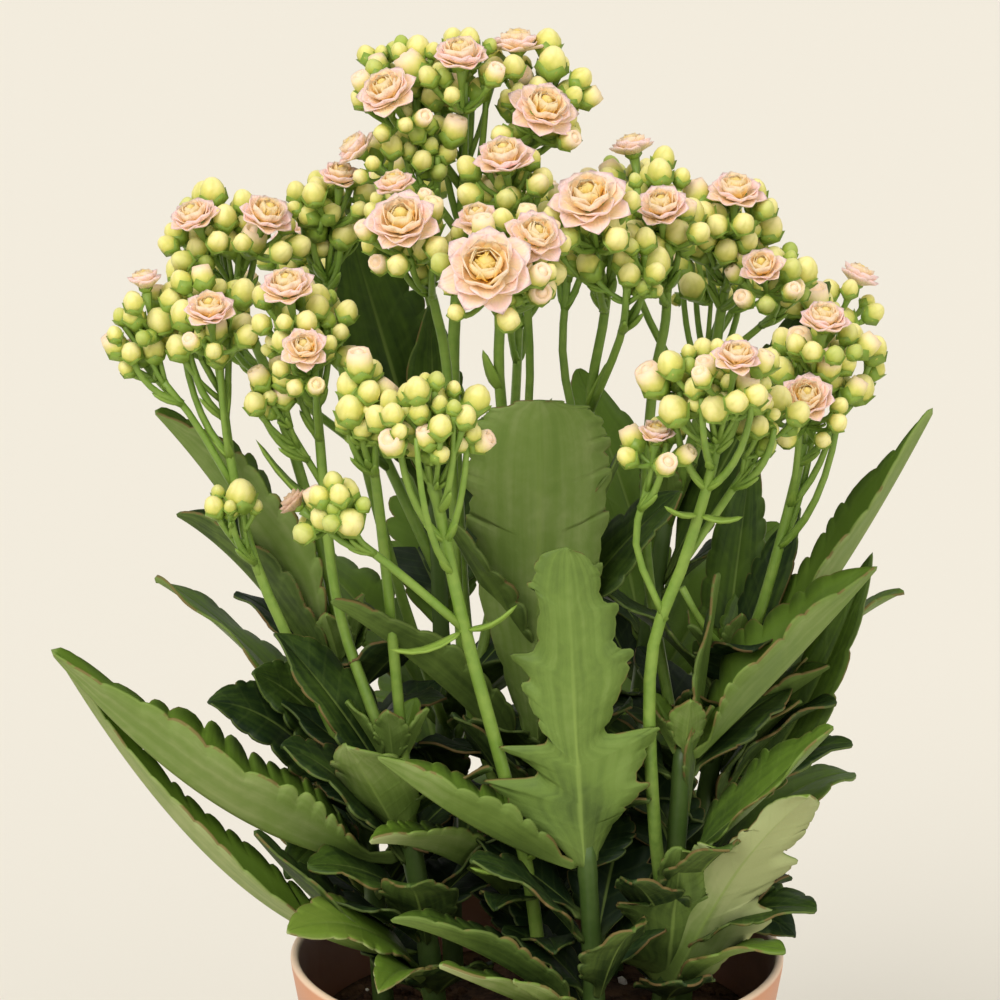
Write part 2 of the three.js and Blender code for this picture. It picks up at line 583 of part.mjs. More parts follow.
// Half width of a blade, as a share of its widest half, without its teeth.
function bladeProfile(share, swell) {
  if (share < PETIOLE_SHARE) return PETIOLE_WIDTH;
  const along = (share - PETIOLE_SHARE) / (1 - PETIOLE_SHARE);
  const body = Math.sin(Math.PI * along ** swell) ** FULLNESS;
  return PETIOLE_WIDTH * (1 - along) + (1 - PETIOLE_WIDTH) * body;
}

// A toothed margin from root to tip: each tooth rises slowly to its point and drops back to a notch.
function toothedMargin(width, swell) {
  const [, teeth] = LEAF_TEETH.find(([least]) => width >= least);
  const points = [[0, PETIOLE_WIDTH], [PETIOLE_SHARE, PETIOLE_WIDTH]];
  const pitch = (LAST_TOOTH - FIRST_TOOTH) / teeth;
  for (let tooth = 0; tooth < teeth; tooth += 1) {
    const notch = FIRST_TOOTH + tooth * pitch;
    const peak = notch + pitch * PEAK_PLACE;
    points.push([notch, bladeProfile(notch, swell) * NOTCH_WIDTH], [peak, bladeProfile(peak, swell)]);
  }
  return points;
}

// The left and the right margin of a leaf.
function marginsOf([, , , width, , , shape = {}]) {
  if (shape.outline) return OUTLINES[shape.outline];
  const margin = toothedMargin(width, shape.swell ?? PLAIN_SWELL);
  return [margin, margin];
}

// The midrib's curve and, at any share of it, the directions across the blade and out of its upper face.
function bladeFrame(leaf) {
  const [stem, height, tipPoint, , roll, arch] = leaf;
  const root = onStem(SHOOTS[stem], height);
  const tip = vector(tipPoint);
  root.add(towards(root, tip, LEAF_ROOT_OFFSET));
  const length = root.distanceTo(tip);
  const middle = root.clone().lerp(tip, 0.5);
  middle.z += ARCH_REACH * arch * length;
  const curve = new THREE.QuadraticBezierCurve3(root, middle, tip);
  const outward = new THREE.Vector3(tip.x - root.x, tip.y - root.y, 0);
  if (outward.length() < UPRIGHT_SHARE * length) outward.set(tip.x, tip.y, 0);
  outward.normalize();
  const level = new THREE.Vector3(-outward.y, outward.x, 0);
  const turn = THREE.MathUtils.degToRad(roll);
  return (share) => {
    const point = curve.getPoint(share);
    const tangent = curve.getTangent(share);
    const side = level.clone().addScaledVector(tangent, -level.dot(tangent)).normalize();
    const up = new THREE.Vector3().crossVectors(tangent, side);
    const across = side.clone().multiplyScalar(Math.cos(turn)).addScaledVector(up, Math.sin(turn));
    const normal = new THREE.Vector3().crossVectors(tangent, across);
    return { point, across, normal };
  };
}

// Triangles between two lines of points that run the same way, stepping along whichever is behind.
function bridge(first, firstShares, second, secondShares) {
  const faces = [];
  let a = 0;
  let b = 0;
  while (a + 1 < first.length || b + 1 < second.length) {
    const stepFirst = b + 1 >= second.length
      || (a + 1 < first.length && firstShares[a + 1] <= secondShares[b + 1]);
    if (stepFirst) {
      faces.push([first[a], second[b], first[a + 1]]);
      a += 1;
    } else {
      faces.push([first[a], second[b], second[b + 1]]);
      b += 1;
    }
  }
  return faces.filter(([p, q, r]) => p !== q && q !== r && p !== r);
}

// Pairs of points on the upper and the lower face of a blade. Where it has no thickness, the two are one.
function pairAdder(points) {
  return (place, normal, halfThickness) => {
    points.push(place.clone().addScaledVector(normal, halfThickness));
    if (halfThickness === 0) return [points.length - 1, points.length - 1];
    points.push(place.clone().addScaledVector(normal, -halfThickness));
    return [points.length - 2, points.length - 1];
  };
}

// Both faces of a blade, split alike, between its margins and its midrib. A line is its pairs of points and
// their shares of the length.
function bladeFaces(left, right, rib) {
  const faces = [];
  for (const layer of [0, 1]) {
    const onLayer = (line) => line.pairs.map((pair) => pair[layer]);
    const rightFaces = bridge(onLayer(right), right.shares, onLayer(rib), rib.shares);
    const leftFaces = bridge(onLayer(left), left.shares, onLayer(rib), rib.shares);
    for (const [p, q, r] of rightFaces) faces.push(layer === 0 ? [p, q, r] : [p, r, q]);
    for (const [p, q, r] of leftFaces) faces.push(layer === 0 ? [p, r, q] : [p, q, r]);
  }
  for (const [near, far] of [[left.pairs[0], rib.pairs[0]], [rib.pairs[0], right.pairs[0]]]) {
    faces.push([near[0], far[0], far[1]], [near[0], far[1], near[1]]);
  }
  return faces;
}

// The narrow walls along the margins of a blade whose margins have a thickness.
function edgeWalls(left, right) {
  const faces = [];
  for (let place = 0; place + 1 < right.pairs.length; place += 1) {
    const [a, b] = [right.pairs[place], right.pairs[place + 1]];
    faces.push([a[0], b[1], a[1]], [a[0], b[0], b[1]]);
  }
  for (let place = 0; place + 1 < left.pairs.length; place += 1) {
    const [a, b] = [left.pairs[place], left.pairs[place + 1]];
    faces.push([a[0], a[1], b[1]], [a[0], b[1], b[0]]);
  }
  return faces;
}

// A fleshy blade: thick along the midrib and thin at its toothed margin, with both faces split alike.
function blade(leaf, clearance = 0) {
  const [, , , width, , , { fold = PLAIN_FOLD } = {}] = leaf;
  const frameAt = bladeFrame(leaf);
  const points = [];
  const addPair = pairAdder(points);
  const edge = clearance > 0 ? LEAF_EDGE_GAP + clearance : 0;
  const end = frameAt(1);
  const tip = addPair(end.point, end.normal, edge);
  const sideLine = (sign, margin) => {
    const pairs = margin.map(([share, half]) => {
      const { point, across, normal } = frameAt(share);
      const reach = half * width / 2 + clearance;
      const place = point.clone().addScaledVector(across, sign * reach).addScaledVector(normal, reach * fold);
      return addPair(place, normal, edge);
    });
    return { pairs: [...pairs, tip], shares: [...margin.map(([share]) => share), 1] };
  };
  const [leftMargin, rightMargin] = marginsOf(leaf);
  const left = sideLine(-1, leftMargin);
  const right = sideLine(1, rightMargin);
  const ribPairs = RIB_SHARES.map((share) => {
    const { point, normal } = frameAt(share);
    const thickness = LEAF_RIB * (1 - RIB_TAPER * share);
    return addPair(point, normal, thickness / 2 + clearance);
  });
  const rib = { pairs: [...ribPairs, tip], shares: [...RIB_SHARES, 1] };
  const faces = bladeFaces(left, right, rib);
  if (edge > 0) faces.push(...edgeWalls(left, right));
  return solidFrom(points, faces.filter(([p, q, r]) => p !== q && q !== r && p !== r));
}

// ---------------------------------------------------------------- sprays of buds

// A small pointed bract, a three-sided spike that widens and thins out again.
function bract([from, to, width], clearance) {
  const start = vector(from);
  const end = vector(to);
  const direction = end.clone().sub(start);
  const reference = referenceFor(direction);
  const middle = start.clone().lerp(end, 0.5);
  middle.z -= BRACT_SAG * direction.length();
  const rings = [
    ringAround(start, direction, reference, BRACT_ROOT + clearance, PEDICEL_SIDES),
    ringAround(middle, direction, reference, width / 2 + clearance, PEDICEL_SIDES),
    ringAround(end, direction, reference, BRACT_TIP + clearance, PEDICEL_SIDES),
  ];
  return loft(rings);
}

// The distance from a point to the straight line between two others.
function distanceToLine(point, from, to) {
  return new THREE.Line3(from, to).closestPointToPoint(point, true, new THREE.Vector3()).distanceTo(point);
}

// Where a pedicel leaves its limb: a little below the end, and lower for buds that hang low.
function forkFor(spray, limb, place) {
  const curve = spline(spray.limbs[limb][0]);
  const length = curve.getLength();
  const end = curve.getPoint(1);
  const drop = FORK_LEVEL - FORK_SLOPE * (place.z - end.z);
  const below = FORK_SINK + THREE.MathUtils.clamp(drop, 0, FORK_SPREAD);
  const fork = curve.getPoint(1 - Math.min(FORK_LOWEST, below / length));
  return fork.add(towards(fork, place, FORK_OFFSET));
}

// Buds of one head: random places in its ellipsoid. A bud is kept where it and its pedicel are clear of
// every open flower and of the buds that are there already.
function addBuds(placed, name, head) {
  const [limb, centre, half, count] = head;
  const spray = SPRAYS[name];
  let kept = 0;
  for (let attempt = 0; attempt < BUD_ATTEMPTS * count && kept < count; attempt += 1) {
    const angle = 2 * Math.PI * random();
    const height = (1 - HEAD_LOW) * random() + HEAD_LOW;
    const reach = HEAD_INNER + (1 - HEAD_INNER) * random();
    const flat = Math.sqrt(1 - height * height) * reach;
    const radius = BUD_RADIUS * (1 - BUD_SPREAD + 2 * BUD_SPREAD * random());
    const place = new THREE.Vector3(
      centre[0] + half[0] * flat * Math.cos(angle),
      centre[1] + half[1] * flat * Math.sin(angle),
      centre[2] + half[2] * height * reach,
    );
    const fork = forkFor(spray, limb, place);
    const clearOfFlowers = FLOWERS.every((row) => (
      distanceToLine(vector(row[2]), fork, place) > row[3] * FLOWER_CLEAR + radius * BUD_CLEAR));
    const clearOfBuds = placed.every((bud) => (
      bud.place.distanceTo(place) > bud.radius + radius + GAP
      && distanceToLine(bud.place, fork, place) > bud.radius + PEDICEL_RADIUS
      && distanceToLine(place, bud.fork, bud.place) > radius + PEDICEL_RADIUS));
    if (clearOfFlowers && clearOfBuds) {
      placed.push({ name, fork, place, radius });
      kept += 1;
    }
  }
}

function allBuds() {
  const placed = [];
  for (const [name, spray] of Object.entries(SPRAYS)) {
    spray.heads.forEach((head) => addBuds(placed, name, head));
  }
  return placed;
}

// A bud on its pedicel as one skin: thin stalk, swelling round bud, blunt tip.
function budOnStalk({ fork, place, radius }, clearance) {
  const outward = place.clone().sub(fork);
  const lift = new THREE.Vector3(0, 0, BUD_LIFT * outward.length());
  const direction = outward.clone().add(lift).normalize();
  const reference = referenceFor(direction);
  const along = (distance) => place.clone().addScaledVector(direction, distance * radius);
  const neckRadius = PEDICEL_RADIUS + NECK_SWELL + clearance;
  return loft([
    ringAround(fork, outward, reference, PEDICEL_RADIUS + clearance, PEDICEL_SIDES),
    ringAround(along(-NECK_DROP), direction, reference, neckRadius, PEDICEL_SIDES),
    ringAround(along(0), direction, reference, radius + clearance, BUD_SIDES),
    [along(1 + clearance / radius)],
  ]);
}

// The place and facing of an open flower, and the root of the pedicel under it.
function flowerSeat([sprayName, head, centre, width]) {
  const spray = SPRAYS[sprayName];
  const fork = forkFor(spray, spray.heads[head][0], vector(centre));
  const facing = vector(centre).sub(fork).normalize();
  facing.z += FLOWER_LIFT;
  facing.normalize();
  const back = vector(centre).addScaledVector(facing, -SEAT_SHARE * width);
  return { fork, facing, back };
}

function flowerStalk(flower, clearance) {
  const { fork, facing, back } = flowerSeat(flower);
  const end = back.clone().addScaledVector(facing, -GAP);
  const outward = end.clone().sub(fork);
  const reference = referenceFor(outward);
  return loft([
    ringAround(fork, outward, reference, PEDICEL_RADIUS + clearance, PEDICEL_SIDES),
    ringAround(end, facing, reference, CALYX_RADIUS + clearance, PEDICEL_SIDES),
  ]);
}

function sprayParts(name, buds, clearance) {
  const spray = SPRAYS[name];
  const parts = spray.limbs.map(([route, low, high]) => (
    rod(route, low, high, STALK_SIDES, clearance)));
  spray.bracts.forEach((row) => parts.push(bract(row, clearance)));
  buds.forEach((bud) => parts.push(budOnStalk(bud, clearance)));
  FLOWERS.filter((row) => row[0] === name).forEach((row) => parts.push(flowerStalk(row, clearance)));
  return parts;
}

// ---------------------------------------------------------------- open flowers

// The rosette's shares of its width. Petals of a nearly closed flower stand higher and reach out less.
const CLOSED_REACH = 0.38;
const OPEN_REACH = 0.5;
const CLOSED_RISE = 0.3;
const OPEN_RISE = 0.14;
const OUTER_NOTCH = 0.56;           // the notches' share of the outer petals' reach
const OUTER_DIP = 0.5;              // and of their height
const VALLEY = { tip: 0.17, notch: 0.17, height: 0.14, dip: 0.14, turn: 0 };
const INNER_RIM = { tip: 0.27, notch: 0.16, height: 0.36, dip: 0.24, turn: 1 };
const HEART_HEIGHT = 0.33;

// A rosette as one skin of rings: a back cone, a rim of outer petals, a valley, and a rim of inner petals
// between them round the heart.
function rosetteRings(open) {
  const reach = THREE.MathUtils.lerp(CLOSED_REACH, OPEN_REACH, open);
  const rise = THREE.MathUtils.lerp(CLOSED_RISE, OPEN_RISE, open);
  const outer = { tip: reach, notch: reach * OUTER_NOTCH, height: rise, dip: rise * OUTER_DIP, turn: 0 };
  return [outer, VALLEY, INNER_RIM];
}

function flowerSolid(flower) {
  const [, , , width, open] = flower;
  const { facing, back } = flowerSeat(flower);
  const first = new THREE.Vector3().crossVectors(referenceFor(facing), facing).normalize();
  const second = new THREE.Vector3().crossVectors(facing, first);
  const petals = width >= SMALL_FLOWER ? 6 : 5;
  const rings = rosetteRings(open);
  const at = (reach, angle, height) => back.clone()
    .addScaledVector(first, Math.cos(angle) * reach * width)
    .addScaledVector(second, Math.sin(angle) * reach * width)
    .addScaledVector(facing, height * width);
  const corners = 2 * petals;
  const points = [at(0, 0, 0)];
  for (const { tip, notch, height, dip, turn } of rings) {
    for (let corner = 0; corner < corners; corner += 1) {
      const isTip = corner % 2 === turn;
      points.push(at(isTip ? tip : notch, (Math.PI * corner) / petals, isTip ? height : dip));
    }
  }
  points.push(at(0, 0, HEART_HEIGHT));
  const top = points.length - 1;
  const faces = [];
  for (let corner = 0; corner < corners; corner += 1) {
    const next = (corner + 1) % corners;
    faces.push([0, 1 + next, 1 + corner]);
    for (let ring = 0; ring + 1 < rings.length; ring += 1) {
      const low = 1 + ring * corners;
      const high = low + corners;
      faces.push([low + corner, low + next, high + next], [low + corner, high + next, high + corner]);
    }
    faces.push([top - corners + corner, top - corners + next, top]);
  }
  return solidFrom(points, faces);
}

function flowerClearance(flower) {
  const [, , centre, width] = flower;
  const geometry = new THREE.IcosahedronGeometry(width / 2, 1);
  geometry.translate(centre[0], centre[1], centre[2]);
  return solidFromGeometry(geometry);
}

// ---------------------------------------------------------------- assembly

function boxesMeet(a, b) {
  return [0, 1, 2].every((axis) => a.min[axis] < b.max[axis] && b.min[axis] < a.max[axis]);
}

// What is left of a solid when the clearance solids near it are cut away.
function clearOf(solid, clearances) {
  let left = solid;
  for (const other of clearances) {
    if (boxesMeet(left.boundingBox(), other.boundingBox())) left = left.subtract(other);
  }
  return left;
}

function meshFrom(name, solid, [colour, roughness]) {
  const { vertProperties, triVerts } = solid.getMesh();
  const geometry = new THREE.BufferGeometry();
  geometry.setAttribute('position', new THREE.BufferAttribute(vertProperties, 3));
  geometry.setIndex(new THREE.BufferAttribute(triVerts, 1));
  geometry.computeVertexNormals();
  const material = new THREE.MeshStandardMaterial({
    color: colour,
    roughness,
    metalness: 0,
    flatShading: true,
  });
  const mesh = new THREE.Mesh(geometry, material);
  mesh.name = name;
  return mesh;
}

function stemRod(shoot, clearance) {
  return rod(shoot.route, shoot.radius[0], shoot.radius[1], STEM_SIDES, clearance);
}

function buildSprays(stemClearances) {
  const sprays = new Map();
  const clearances = [];
  const everyBud = allBuds();
  for (const name of Object.keys(SPRAYS)) {
    const buds = everyBud.filter((bud) => bud.name === name);
    const whole = fuse(sprayParts(name, buds, 0));
    sprays.set(name, largest(clearOf(whole, [...stemClearances, ...clearances])));
    clearances.push(...sprayParts(name, buds, GAP));
  }
  return { sprays, clearances };
}

function buildFlowers(sprayClearances) {
  const flowers = [];
  const clearances = [];
  for (const row of FLOWERS) {
    flowers.push(largest(clearOf(flowerSolid(row), [...sprayClearances, ...clearances])));
    clearances.push(flowerClearance(row));
  }
  return { flowers, clearances };
}

function buildShoots(obstacles) {
  const shoots = new Map();
  const earlier = [];
  for (const [name, shoot] of Object.entries(SHOOTS)) {
    const otherStems = Object.entries(SHOOTS)
      .filter(([other]) => other !== name)
      .map(([, row]) => stemRod(row, GAP));
    const rows = LEAVES.filter((row) => row[0] === name);
    const blades = rows.map((row) => clearOf(blade(row), [...obstacles, ...otherStems, ...earlier]));
    const stem = stemRod(shoot, 0);
    const kept = blades.map((piece) => {
      const joined = piece.decompose().filter((body) => body.intersect(stem).volume() > JOINED_VOLUME);
      return joined.length ? joined[0] : null;
    });
    shoots.set(name, largest(fuse([stem, ...kept.filter(Boolean)])));
    earlier.push(...rows.map((row) => blade(row, GAP)));
  }
  return shoots;
}

const stemClearances = Object.values(SHOOTS).map((shoot) => stemRod(shoot, GAP));
const frontStalk = SPRAYS.front.limbs[0];
const stalkClearance = rod(frontStalk[0], frontStalk[1], frontStalk[2], STALK_SIDES, GAP);
const { sprays, clearances: sprayClearances } = buildSprays(stemClearances);
const { flowers, clearances: flowerClearances } = buildFlowers(sprayClearances);
const pot = makePot();
const shoots = buildShoots([...sprayClearances, ...flowerClearances]);

const kalanchoe = new THREE.Group();
kalanchoe.name = 'potted_kalanchoe';
kalanchoe.add(meshFrom('pot', pot, COLOURS.pot));
kalanchoe.add(meshFrom('soil', makeSoil([...stemClearances, stalkClearance]), COLOURS.soil));
shoots.forEach((solid, name) => kalanchoe.add(meshFrom(`leafy_stem_${name}`, solid, COLOURS.leaf)));
sprays.forEach((solid, name) => kalanchoe.add(meshFrom(`spray_${name}`, solid, COLOURS.spray)));
flowers.forEach((solid, index) => {
  const number = String(index + 1).padStart(2, '0');
  kalanchoe.add(meshFrom(`flower_${number}`, solid, COLOURS.flower));
});

export default kalanchoe;
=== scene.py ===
"""A potted kalanchoe with double flowers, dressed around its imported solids.

The tables and the building work are in millimetres, as the solids are drawn. A piece is
brought to metres when it is finished. The layout, the curves and the random draws for the
buds repeat those of the solids, so every finer piece stands where its solid stands.
"""

import logging
import math
from collections.abc import Callable, Iterable, Sequence
from dataclasses import dataclass, field
from enum import Enum

import bmesh
import bpy
import numpy as np
from mathutils import Matrix, Vector, noise


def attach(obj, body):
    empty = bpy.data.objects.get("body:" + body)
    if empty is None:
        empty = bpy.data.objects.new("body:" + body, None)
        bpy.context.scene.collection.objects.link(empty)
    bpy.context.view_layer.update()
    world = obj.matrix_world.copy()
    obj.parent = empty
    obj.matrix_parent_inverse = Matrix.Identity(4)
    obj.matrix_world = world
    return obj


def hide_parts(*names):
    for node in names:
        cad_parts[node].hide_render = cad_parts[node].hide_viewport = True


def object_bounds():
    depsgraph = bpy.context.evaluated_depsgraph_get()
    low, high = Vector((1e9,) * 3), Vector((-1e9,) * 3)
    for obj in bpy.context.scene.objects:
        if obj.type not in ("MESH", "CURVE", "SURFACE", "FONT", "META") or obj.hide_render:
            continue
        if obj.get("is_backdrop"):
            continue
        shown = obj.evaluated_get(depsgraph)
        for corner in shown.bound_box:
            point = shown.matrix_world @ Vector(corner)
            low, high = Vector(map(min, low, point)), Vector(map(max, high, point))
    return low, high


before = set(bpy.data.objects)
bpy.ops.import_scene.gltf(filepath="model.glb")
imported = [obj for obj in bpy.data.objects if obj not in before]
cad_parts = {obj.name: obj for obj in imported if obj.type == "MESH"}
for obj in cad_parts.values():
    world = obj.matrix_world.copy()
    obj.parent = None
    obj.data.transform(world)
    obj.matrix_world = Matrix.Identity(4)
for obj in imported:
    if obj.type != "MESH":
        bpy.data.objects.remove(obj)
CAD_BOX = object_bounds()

LOG = logging.getLogger("kalanchoe")

Point = tuple[float, float, float]
Colour = tuple[float, float, float, float]
Margin = list[tuple[float, float]]

MM = 0.001

# ---- driving dimensions, in mm

POT_HEIGHT = 105.0
POT_RIM_RADIUS = 60.0
POT_FOOT_RADIUS = 43.0
POT_WALL = 1.8
RIM_BAND = 13.0
RIM_STEP = 1.6
FLOOR_THICKNESS = 2.4
DRAIN_RADIUS = 4.0
DRAIN_RING = 26.0
DRAIN_COUNT = 4
GAP = 0.3
OPENING_TONE = 0.82  # buds of a higher tone have begun to open
# The stalks of these sprays are painted lit down to their foot, without painted shade low down.
OUTSIDE_SPRAYS = ("front",)  # flower stalks that stand in the light down to their foot
FRONT_LINE = -38  # small leaves in front of this y
FRONT_TOP = 116  # stay below this height

SOIL_TOP = 86.0
SOIL_MOUND = 2.5
STEM_DEPTH = 62.0

BUD_RADIUS = 3.0
PEDICEL_RADIUS = 0.65
FORK_OFFSET = 0.6
FORK_SINK = 2.5
FORK_SPREAD = 11.0
BUD_ATTEMPTS = 80
LEAF_ROOT_OFFSET = 1.5
PETIOLE_SHARE = 0.14
PETIOLE_WIDTH = 0.13
SMALL_FLOWER = 12.0


class Outline(Enum):
    """How a leaf's margin is cut."""

    CRENATE = "rounded teeth all round"
    LOBED = "deep lobes below the middle"
    BLUNT = "widest near a blunt tip"
    SPREAD = "lobes that spread from the base"
    PLAIN = "teeth that hardly show"


class Mark(Enum):
    """The numbers that a mesh carries at each of its points, for its material."""

    RISE = "rise"
    SIDE = "side"
    TONE = "tone"
    # UNDER is 1 on a leaf's lower face, on the pot's inside, which is stained and painted shaded, and on
    # stalks painted lit.
    UNDER = "under"
    FADE = "fade"


@dataclass(frozen=True)
class Leaf:
    """One leaf of a leafy stem.

    Args:
        shoot: Name of the leafy stem.
        height: Height on the stem at which it roots.
        tip: Place of its tip.
        width: Width of the blade.
        roll: Turn about the midrib, in degrees.
        arch: The midrib's bulge as a share of its length.
        swell: Over 0.8 moves the widest place towards the tip.
        fold: How far the margins stand above the midrib, as a share of the half width.
        outline: How the margin is cut.
        shade: Over 0.5 is a paler leaf, under it a darker one; partly painted light and shade, low on
            leaves deep in the plant and raised on leaves turned from the light.
    """

    shoot: str
    height: float
    tip: Point
    width: float
    roll: float
    arch: float
    swell: float = 0.8
    fold: float = 0.16
    outline: Outline = Outline.CRENATE
    shade: float = 0.5


# ---- layout

SHOOTS: dict[str, tuple[list[Point], tuple[float, float]]] = {
    "left_front": ([(-22, -14, STEM_DEPTH), (-26, -16, 110), (-34, -20, 160)], (3.0, 2.3)),
    "front": ([(14, -28, STEM_DEPTH), (13, -32, 110), (11, -36, 144)], (2.8, 2.2)),
    "right_front": ([(26, -18, STEM_DEPTH), (31, -21, 110), (34, -24, 164)], (3.0, 2.2)),
    "right": ([(34, 8, STEM_DEPTH), (38, 6, 120), (46, 2, 176)], (3.0, 2.2)),
    "back_right": ([(18, 30, STEM_DEPTH), (22, 34, 130), (32, 36, 206)], (3.0, 2.0)),
    "back_left": ([(-20, 30, STEM_DEPTH), (-22, 34, 130), (-25, 36, 216)], (3.0, 2.0)),
    "left": ([(-36, 8, STEM_DEPTH), (-40, 6, 120), (-47, 4, 178)], (3.0, 2.2)),
    "centre": ([(0, 2, STEM_DEPTH), (0, 2, 130), (0, 0, 190)], (3.2, 2.3)),
}

# A leaf's shade is partly its own colour and partly painted light and shade: low shades paint the shade
# on leaves deep in the plant.
LEAVES: list[Leaf] = [
    Leaf("left_front", 134, (-112, -42, 193), 30, 0, -0.13, fold=0.95, shade=0.5),
    Leaf("left_front", 110, (-111, -33, 189), 15, -10, -0.17, fold=0.8, shade=0.6),
    Leaf("left_front", 104, (-66, -44, 150), 16, -20, -0.06, fold=0.5, shade=0.2),
    Leaf("left_front", 103, (-58, -58, 130), 20, -30, 0.12, shade=0.95),
    Leaf("left_front", 100, (-37, -62, 117), 14, -10, 0.1, fold=0.5, shade=0.8),
    Leaf("left_front", 137, (-44, -46, 171), 22, 10, 0.02, swell=1.1, fold=0.3, shade=0.7),
    Leaf("left_front", 150, (-62, -21, 191), 22, -30, 0.05, fold=0.3, shade=0.2),
    Leaf("left_front", 122, (-54, -38, 139), 20, -20, 0.1, shade=0.2),
    Leaf("left_front", 132, (-60, -36, 168), 22, -30, 0.1, shade=0.15),
    Leaf("left_front", 112, (-30, -54, 140), 20, 0, 0.1, shade=0.25),
    Leaf("left", 136, (-78, -18, 173), 22, -50, 0.14, shade=0.2),
    Leaf("left", 150, (-68, -10, 178), 20, -60, 0.1, shade=0.15),
    Leaf("left", 172, (-90, -6, 241), 23, 0, 0.06, fold=1.0, shade=0.45),
    Leaf("left", 166, (-86, 2, 214), 20, 0, 0.1, fold=0.9, shade=0.2),
    Leaf("left", 128, (-60, -20, 130), 18, -30, 0.2, shade=0.3),
    Leaf("left", 146, (-94, 32, 190), 26, 20, 0.08, shade=0.4),
    Leaf("left", 116, (-92, 14, 150), 24, 0, 0.14, shade=0.3),
    Leaf("left", 108, (-70, 40, 126), 22, 0, 0.18),
    Leaf("front", 138, (-37, -50, 170), 18, 0, -0.06, fold=1.0, shade=0.5),
    Leaf("centre", 112, (-39, -52, 150), 15, 0, 0.08, fold=0.9, shade=0.9),
    Leaf("centre", 150, (-48, -36, 203), 18, 0, 0.04, fold=0.8, shade=0.3),
    Leaf("centre", 170, (-22, -26, 220), 22, -20, 0.04, fold=0.3, shade=0.35),
    Leaf("centre", 152, (0, -26, 248), 35, 4, -0.14, outline=Outline.BLUNT, shade=0.5),
    Leaf("centre", 184, (22, -16, 239), 20, 20, 0.02, shade=0.25),
    Leaf("centre", 180, (34, -8, 222), 20, 40, 0.06, shade=0.3),
    Leaf("front", 138, (6, -46, 218.5), 39, 0, -0.06, outline=Outline.LOBED, shade=0.4),
    Leaf("front", 98, (-34, -60, 134), 16, 0, 0.06, fold=0.7, shade=0.3),
    Leaf("front", 104, (22, -56, 130), 20, 20, 0.12, shade=0.2),
    Leaf("front", 118, (-16, -54, 146), 18, -20, 0.1, shade=0.2),
    Leaf("front", 97, (-23, -63, 124), 16, 0, 0, fold=0.4, shade=0.85),
    Leaf("front", 97, (-6, -62, 120), 11, 0, 0, fold=0.4, shade=0.75),
    Leaf("centre", 134, (-20, -30, 174), 20, -20, 0.06, shade=0.15),
    Leaf("centre", 140, (22, -28, 176), 22, 20, 0.06, shade=0.15),
    Leaf("centre", 108, (-10, -42, 130), 18, 0, 0.12, shade=0.1),
    Leaf("centre", 124, (26, -34, 154), 21, 0, 0.08, outline=Outline.PLAIN, shade=0.1),
    Leaf("centre", 100, (4, -44, 120), 18, 0, 0.1, outline=Outline.PLAIN, shade=0.1),
    Leaf("right_front", 160, (79, -20, 207), 24, 0, -0.02, fold=0.9, shade=0.5),
    Leaf("right_front", 134, (68, -40, 174), 22, 25, -0.02, fold=0.4, shade=0.5),
    Leaf("right_front", 102, (61, -64, 165), 28, -42, 0.08, outline=Outline.SPREAD, shade=0.95),
    Leaf("right_front", 106, (33, -44, 146), 34, -10, 0, outline=Outline.SPREAD, shade=0.55),
    Leaf("right_front", 110, (65, -40, 129), 21, 10, 0.12, swell=1.1, shade=0.15),
    Leaf("right_front", 100, (57, -52, 123), 16, 0, 0.12, shade=0.5),
    Leaf("right_front", 120, (44, -56, 150), 20, 10, 0.1, shade=0.25),
    Leaf("right_front", 144, (42, -22, 206), 18, 20, 0.04, shade=0.3),
    Leaf("right_front", 118, (22, -48, 139), 19, 0, 0.06, outline=Outline.PLAIN, shade=0.1),
    Leaf("right", 164, (92, -12, 243), 19, 20, -0.06, fold=0.7, shade=0.65),
    Leaf("right", 140, (80, 4, 204), 17, 60, -0.18, fold=0.3, shade=0.4),
    Leaf("right", 162, (63, 8, 214), 14, 30, 0.06, shade=0.2),
    Leaf("right", 156, (70, 0, 177), 13, 0, 0.02, fold=0.8, shade=0.2),
    Leaf("right", 128, (76, 0, 157), 16, 20, 0.16, shade=0.2),
    Leaf("right", 132, (63, -6, 170), 18, 0, 0.12, shade=0.15),
    Leaf("right", 104, (62, -14, 113), 18, 20, 0.2, shade=0.2),
    Leaf("right", 142, (52, 16, 228), 18, 50, 0.02, shade=0.3),
    Leaf("right", 148, (90, 28, 188), 24, -20, 0.1),
    Leaf("right", 112, (80, 36, 138), 24, 0, 0.16),
    Leaf("right", 120, (26, -18, 150), 20, 0, 0.08, outline=Outline.PLAIN, shade=0.1),
    Leaf("back_right", 186, (70, 24, 266), 20, 50, 0.02, shade=0.3),
    Leaf("back_right", 150, (62, 62, 196), 28, 0, 0.1),
    Leaf("back_right", 170, (14, 84, 212), 28, 0, 0.1),
    Leaf("back_right", 130, (34, 84, 152), 28, 0, 0.16),
    Leaf("back_right", 186, (10, 62, 236), 22, 0, 0.06),
    Leaf("back_right", 106, (52, 58, 124), 22, 0, 0.18),
    Leaf("back_left", 206, (-46, 30, 279), 30, -70, 0.02, swell=1.0, shade=0.3),
    Leaf("back_left", 206, (-26, 24, 260), 18, -20, 0.02, shade=0.3),
    Leaf("back_left", 150, (-64, 62, 192), 28, 0, 0.1),
    Leaf("back_left", 168, (-26, 88, 208), 28, 0, 0.1),
    Leaf("back_left", 128, (-34, 84, 150), 28, 0, 0.16),
    Leaf("back_left", 108, (-8, 74, 126), 22, 0, 0.18),
    Leaf("back_left", 110, (-52, 56, 124), 22, 0, 0.18),
]
